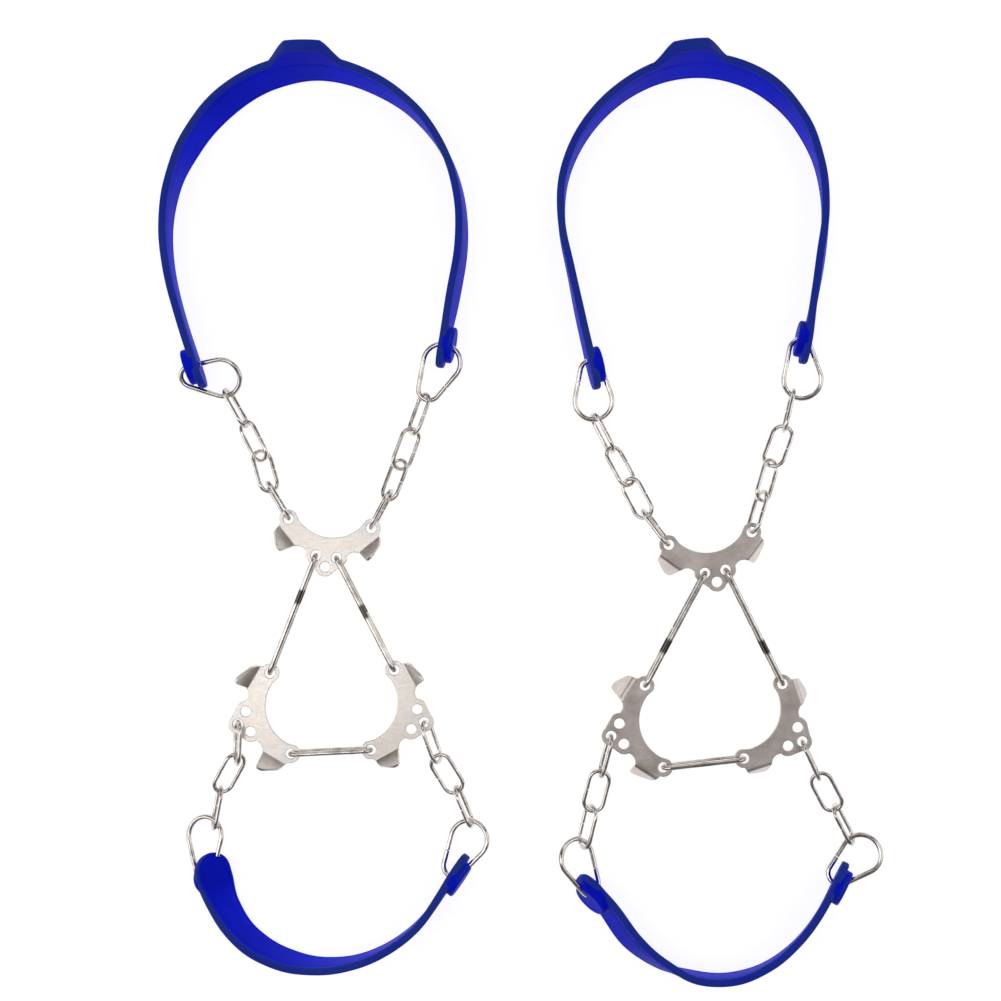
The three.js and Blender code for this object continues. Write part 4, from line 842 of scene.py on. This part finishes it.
def strap_mesh(node, spec):
    st = Strap(spec)
    L, tip = st.length, BAND["tip"]
    stations = []
    # cosine spacing round both ends, even spacing between
    for i in range(15):
        stations.append(-tip + H2 * (1 - math.cos(i / 14 * math.pi / 2)))
    s = -tip + H2
    while s < L + tip - H2 - 0.9:
        near_tab = st.crown is not None and abs(s - st.crown) < TAB["base"] / 2 + 2
        s += 0.5 if near_tab else 1.0
        stations.append(s)
    for i in range(15):
        stations.append(L + tip - H2 + H2 * math.sin(i / 14 * math.pi / 2))
    # profile: parameter round the section, as (height from -1 to 1, face, corner)
    R = 0.85                                 # rounded edge
    NF, NC = 34, 6
    verts, uvs, rows, rim = [], [], [], []
    # painted sheen weights round the section: the top edge fully, the bottom edge nearly so, the faces not at all
    corners = [0.0] * (NF - 1) + [0.25, 0.7] + [1.0] * (2 * NC) + [0.8, 0.3] + [0.0] * (NF - 2) \
        + [0.3] + [0.9] * (2 * NC)
    for s in stations:
        e = min(s + tip, L + tip - s)
        hh = max(0.02, half_height(e))
        k = tk = 0.0
        if st.crown is not None:
            x = abs(s - st.crown)
            k = 1 - smoothstep_lin((x - TAB["top"] / 2) / (TAB["base"] / 2 - TAB["top"] / 2))
            tk = k
        top = hh + TAB["rise"] * k
        bot = -hh
        bulge = TAB["bulge"] * tk
        r = min(R, hh * 0.98)
        ring = []
        # outer face, from the bottom up; then the top edge; inner face down; bottom edge
        def outer(h):
            f = 0.0
            if bulge > 0:
                f = bulge * smoothstep((h - 1.5) / 6.0) - 0.55 * bulge * smoothstep((h - (top - 2.2)) / 2.2)
            return T2 + f
        rt = min(R, (top - bot) * 0.45)
        for i in range(NF + 1):
            h = bot + rt + (top - bot - 2 * rt) * i / NF
            g = groove(h, hh) if hh > 7.9 and k < 0.02 else 0.0
            ring.append((outer(h) - g, h))
        to = outer(top - rt)
        ti = -T2
        wide = to - ti
        rx = min(R, wide * 0.48)
        for i in range(1, NC + 1):
            a = i / NC * math.pi / 2
            ring.append((to - rx * (1 - math.cos(a)), top - rt + rt * math.sin(a)))
        for i in range(0, NC + 1):
            a = i / NC * math.pi / 2
            ring.append((ti + rx * (1 - math.sin(a)), top - rt + rt * math.cos(a)))
        for i in range(1, NF + 1):
            h = top - rt - (top - bot - 2 * rt) * i / NF
            g = groove(h, hh) if hh > 7.9 else 0.0
            if k > 0.3:
                # two short moulded lines under the tab, on the inside
                for at in (hh - 0.6, hh - 2.6):
                    g += 0.16 * smoothstep((k - 0.3) / 0.3) * math.exp(-((h - at) / 0.4) ** 2)
            ring.append((ti + g, h))
        for i in range(1, NC + 1):
            a = i / NC * math.pi / 2
            ring.append((ti + R * (1 - math.cos(a)), bot + rt - rt * math.sin(a)))
        for i in range(0, NC):
            a = i / NC * math.pi / 2
            ring.append((T2 - R * (1 - math.sin(a)), bot + rt - rt * math.cos(a)))
        # the ends of the band round off in thickness as well
        thin = min(1.0, math.sqrt(max(0.0, 1 - (1 - min(1.0, e / 0.9)) ** 2)))
        thin = 0.25 + 0.75 * thin
        p, d, w, n = st.at(s)
        row = []
        run = 0.0
        last = None
        for t, h in ring:
            q = p + n * (t * thin) + w * h
            if last is not None:
                run += math.hypot(t - last[0], h - last[1])
            last = (t, h)
            row.append(len(verts))
            verts.append(q)
            uvs.append((s * MM, run * MM))
            # each point takes its painted sheen weight; the upper half of the outer face also takes some near the tab
            c = corners[min(len(row) - 1, len(corners) - 1)]
            rim.append(max(c, 0.45 * k if len(row) > NF * 0.55 and len(row) < NF + 2 else 0.0))
        rows.append(row)
    faces = []
    m = len(rows[0])
    for a, b in zip(rows, rows[1:]):
        for i in range(m):
            j = (i + 1) % m
            faces.append((a[i], a[j], b[j], b[i]))
    faces.append(tuple(reversed(rows[0])))
    faces.append(tuple(rows[-1]))
    o = mesh_object(f"{node}_band", verts, faces, blue, uvs)
    # the painted sheen weights reach the material as the rim attribute
    attribute = o.data.attributes.new("rim", "FLOAT", "POINT")
    attribute.data.foreach_set("value", np.array(rim, np.float32))
    outward(o)
    return o, st


def smoothstep_lin(x):
    """A straight ramp with softened corners."""
    x = min(1.0, max(0.0, x))
    s = x * x * (3 - 2 * x)
    return 0.65 * x + 0.35 * s


def boss_mesh(node, st, s0, tag):
    """Round pad round the eye, with a rolled edge and a fillet at its foot."""
    r, h0 = BOSS["d"] / 2, T2 - 0.9
    h1 = T2 + BOSS["thickness"]
    prof = [(0.0, h0), (r - 0.6, h0), (r + 0.55, h0)]
    prof += [(r + 0.55 - 0.55 * math.sin(i / 4 * math.pi / 2), T2 + 0.02 + 0.55 * (1 - math.cos(i / 4 * math.pi / 2)))
             for i in range(5)]
    prof += [(r - 0.9 * (1 - math.cos(i / 6 * math.pi / 2)), h1 - 0.9 + 0.9 * math.sin(i / 6 * math.pi / 2))
             for i in range(7)]
    prof += [(r - 2.0, h1), (r - 2.5, h1 - 0.12), (r - 3.1, h1 - 0.12), (2.0, h1 - 0.12), (0.0, h1 - 0.12)]
    n = 48
    verts, uvs, faces, rows = [], [], [], []
    for k, (rr, hh) in enumerate(prof):
        row = []
        if rr < 1e-6:
            row = [len(verts)] * n
            verts.append(st.point(s0, 0, hh * st.boss, 0))
            uvs.append((s0 * MM, 0))
        else:
            for i in range(n):
                a = i / n * 2 * math.pi
                row.append(len(verts))
                verts.append(st.point(s0, rr * math.cos(a), hh * st.boss, rr * math.sin(a)))
                uvs.append(((s0 + rr * math.cos(a)) * MM, (8 + rr * math.sin(a)) * MM))
        rows.append(row)
    for a, b in zip(rows, rows[1:]):
        for i in range(n):
            j = (i + 1) % n
            f = []
            for v in (a[i], a[j], b[j], b[i]):
                if v not in f:
                    f.append(v)
            if len(f) > 2:
                faces.append(tuple(f))
    o = mesh_object(f"{node}_boss_{tag}", verts, faces, blue, uvs)
    outward(o)
    return o


def boolean(o, other, operation, self_overlap=False):
    mod = o.modifiers.new("join", "BOOLEAN")
    mod.operation = operation
    mod.solver = "EXACT"
    mod.object = other
    mod.use_self = self_overlap
    dg = bpy.context.evaluated_depsgraph_get()
    me = bpy.data.meshes.new_from_object(o.evaluated_get(dg))
    o.modifiers.clear()
    if len(me.polygons) > 100:
        o.data = me
    bpy.data.objects.remove(other)


HINGES = {j["name"]: j for j in frame["record"]["behaviour"]["joints"]}
for node, spec in STRAPS.items():
    band, st = strap_mesh(node, spec)
    bosses = [boss_mesh(node, st, s0, tag) for s0, tag in ((0.0, "l"), (st.length, "r"))]
    for o in (band, *bosses):
        o.data.transform(Matrix.Scale(MM, 4))
    for b in bosses:
        boolean(band, b, "UNION")
    # the tight eyes that the rings pass through, opened as far as the strap turns in them
    hinge = HINGES[f"{node}_fold"]
    pivot, line = Vector(hinge["pos_m"]), Vector(hinge["axis"])
    low, high = hinge["range_deg"]
    for lr in "lr":
        ring = node.replace("strap", f"ring_{lr}")
        for turn in (0.0, low, high):
            swing = Matrix.Translation(pivot) @ Matrix.Rotation(math.radians(turn), 4, line) @ Matrix.Translation(-pivot)
            for side in ((1, -1) if turn == 0.0 else (RING_SIDE[ring],)):
                verts, faces, uvs = sweep(pear_line(side), RING["wire"] + (0.16 if turn == 0.0 else 0.24), 14)
                cutter = mesh_object("cutter", verts, faces, blue, uvs)
                place(cutter, ring)
                cutter.data.transform(swing)
                outward(cutter)
                boolean(band, cutter, "DIFFERENCE")
    band.data.polygons.foreach_set("use_smooth", [True] * len(band.data.polygons))
    sharpen(band, 42)
    stand_for(band, node)


# ---------------------------------------------------------------- floor, light, camera
FLOOR_GLOW = 0.86


def floor():
    m, nt, b = new_material("pale_floor")
    co = object_coords(nt)
    n = noise(nt, co, 3.0, 2.0, 0.5)
    nt.links.new(ramp(nt, n, [(0.3, (0.30, 0.30, 0.30)), (0.7, (0.32, 0.32, 0.32))]), b.inputs["Base Color"])
    b.inputs["Roughness"].default_value = 0.8
    b.inputs["Specular IOR Level"].default_value = 0.1
    b.inputs["Emission Color"].default_value = (1.0, 1.0, 1.0, 1.0)
    b.inputs["Emission Strength"].default_value = FLOOR_GLOW
    me = bpy.data.meshes.new("floor")
    s = 14.0
    me.from_pydata([(-s, -s, 0), (s, -s, 0), (s, s, 0), (-s, s, 0)], [], [(0, 1, 2, 3)])
    me.materials.append(m)
    o = bpy.data.objects.new("floor", me)
    bpy.context.scene.collection.objects.link(o)
    o.location.z = -0.0004


def area(name, where, look, size, power, colour=(1, 1, 1)):
    light = bpy.data.lights.new(name, "AREA")
    light.shape = "RECTANGLE"
    light.size, light.size_y = size
    light.energy = power
    light.color = colour
    o = bpy.data.objects.new(name, light)
    bpy.context.scene.collection.objects.link(o)
    o.location = where
    o.rotation_mode = "QUATERNION"
    o.rotation_quaternion = (Vector(look) - Vector(where)).to_track_quat("-Z", "Y")
    return o


floor()
area("soft_left", (-0.95, -0.1, 0.85), (0, 0, 0), (0.9, 1.3), 5.0)
area("soft_right", (0.95, 0.1, 0.85), (0, 0, 0), (0.9, 1.3), 4.2)
area("soft_top", (-0.20, -0.14, 1.0), (-0.08, -0.06, 0), (0.26, 0.40), 0.9)
area("soft_back", (0.0, 1.0, 0.9), (0, 0, 0), (1.2, 0.6), 2.4)
world = bpy.data.worlds.new("studio")
bpy.context.scene.world = world
world.use_nodes = True
world.node_tree.nodes["Background"].inputs[0].default_value = (0.80, 0.80, 0.82, 1)
world.node_tree.nodes["Background"].inputs[1].default_value = 0.20
bpy.context.scene.view_settings.view_transform = "Standard"

cam_data = bpy.data.cameras.new("camera")
cam = bpy.data.objects.new("camera", cam_data)
bpy.context.scene.collection.objects.link(cam)
cam.location = Vector(CAMERA) * MM
cam_data.sensor_width = 36.0
cam_data.lens = 18.0 / (SPAN / 2 / 550.0)
cam_data.clip_start, cam_data.clip_end = 0.01, 20.0
bpy.context.scene.camera = cam
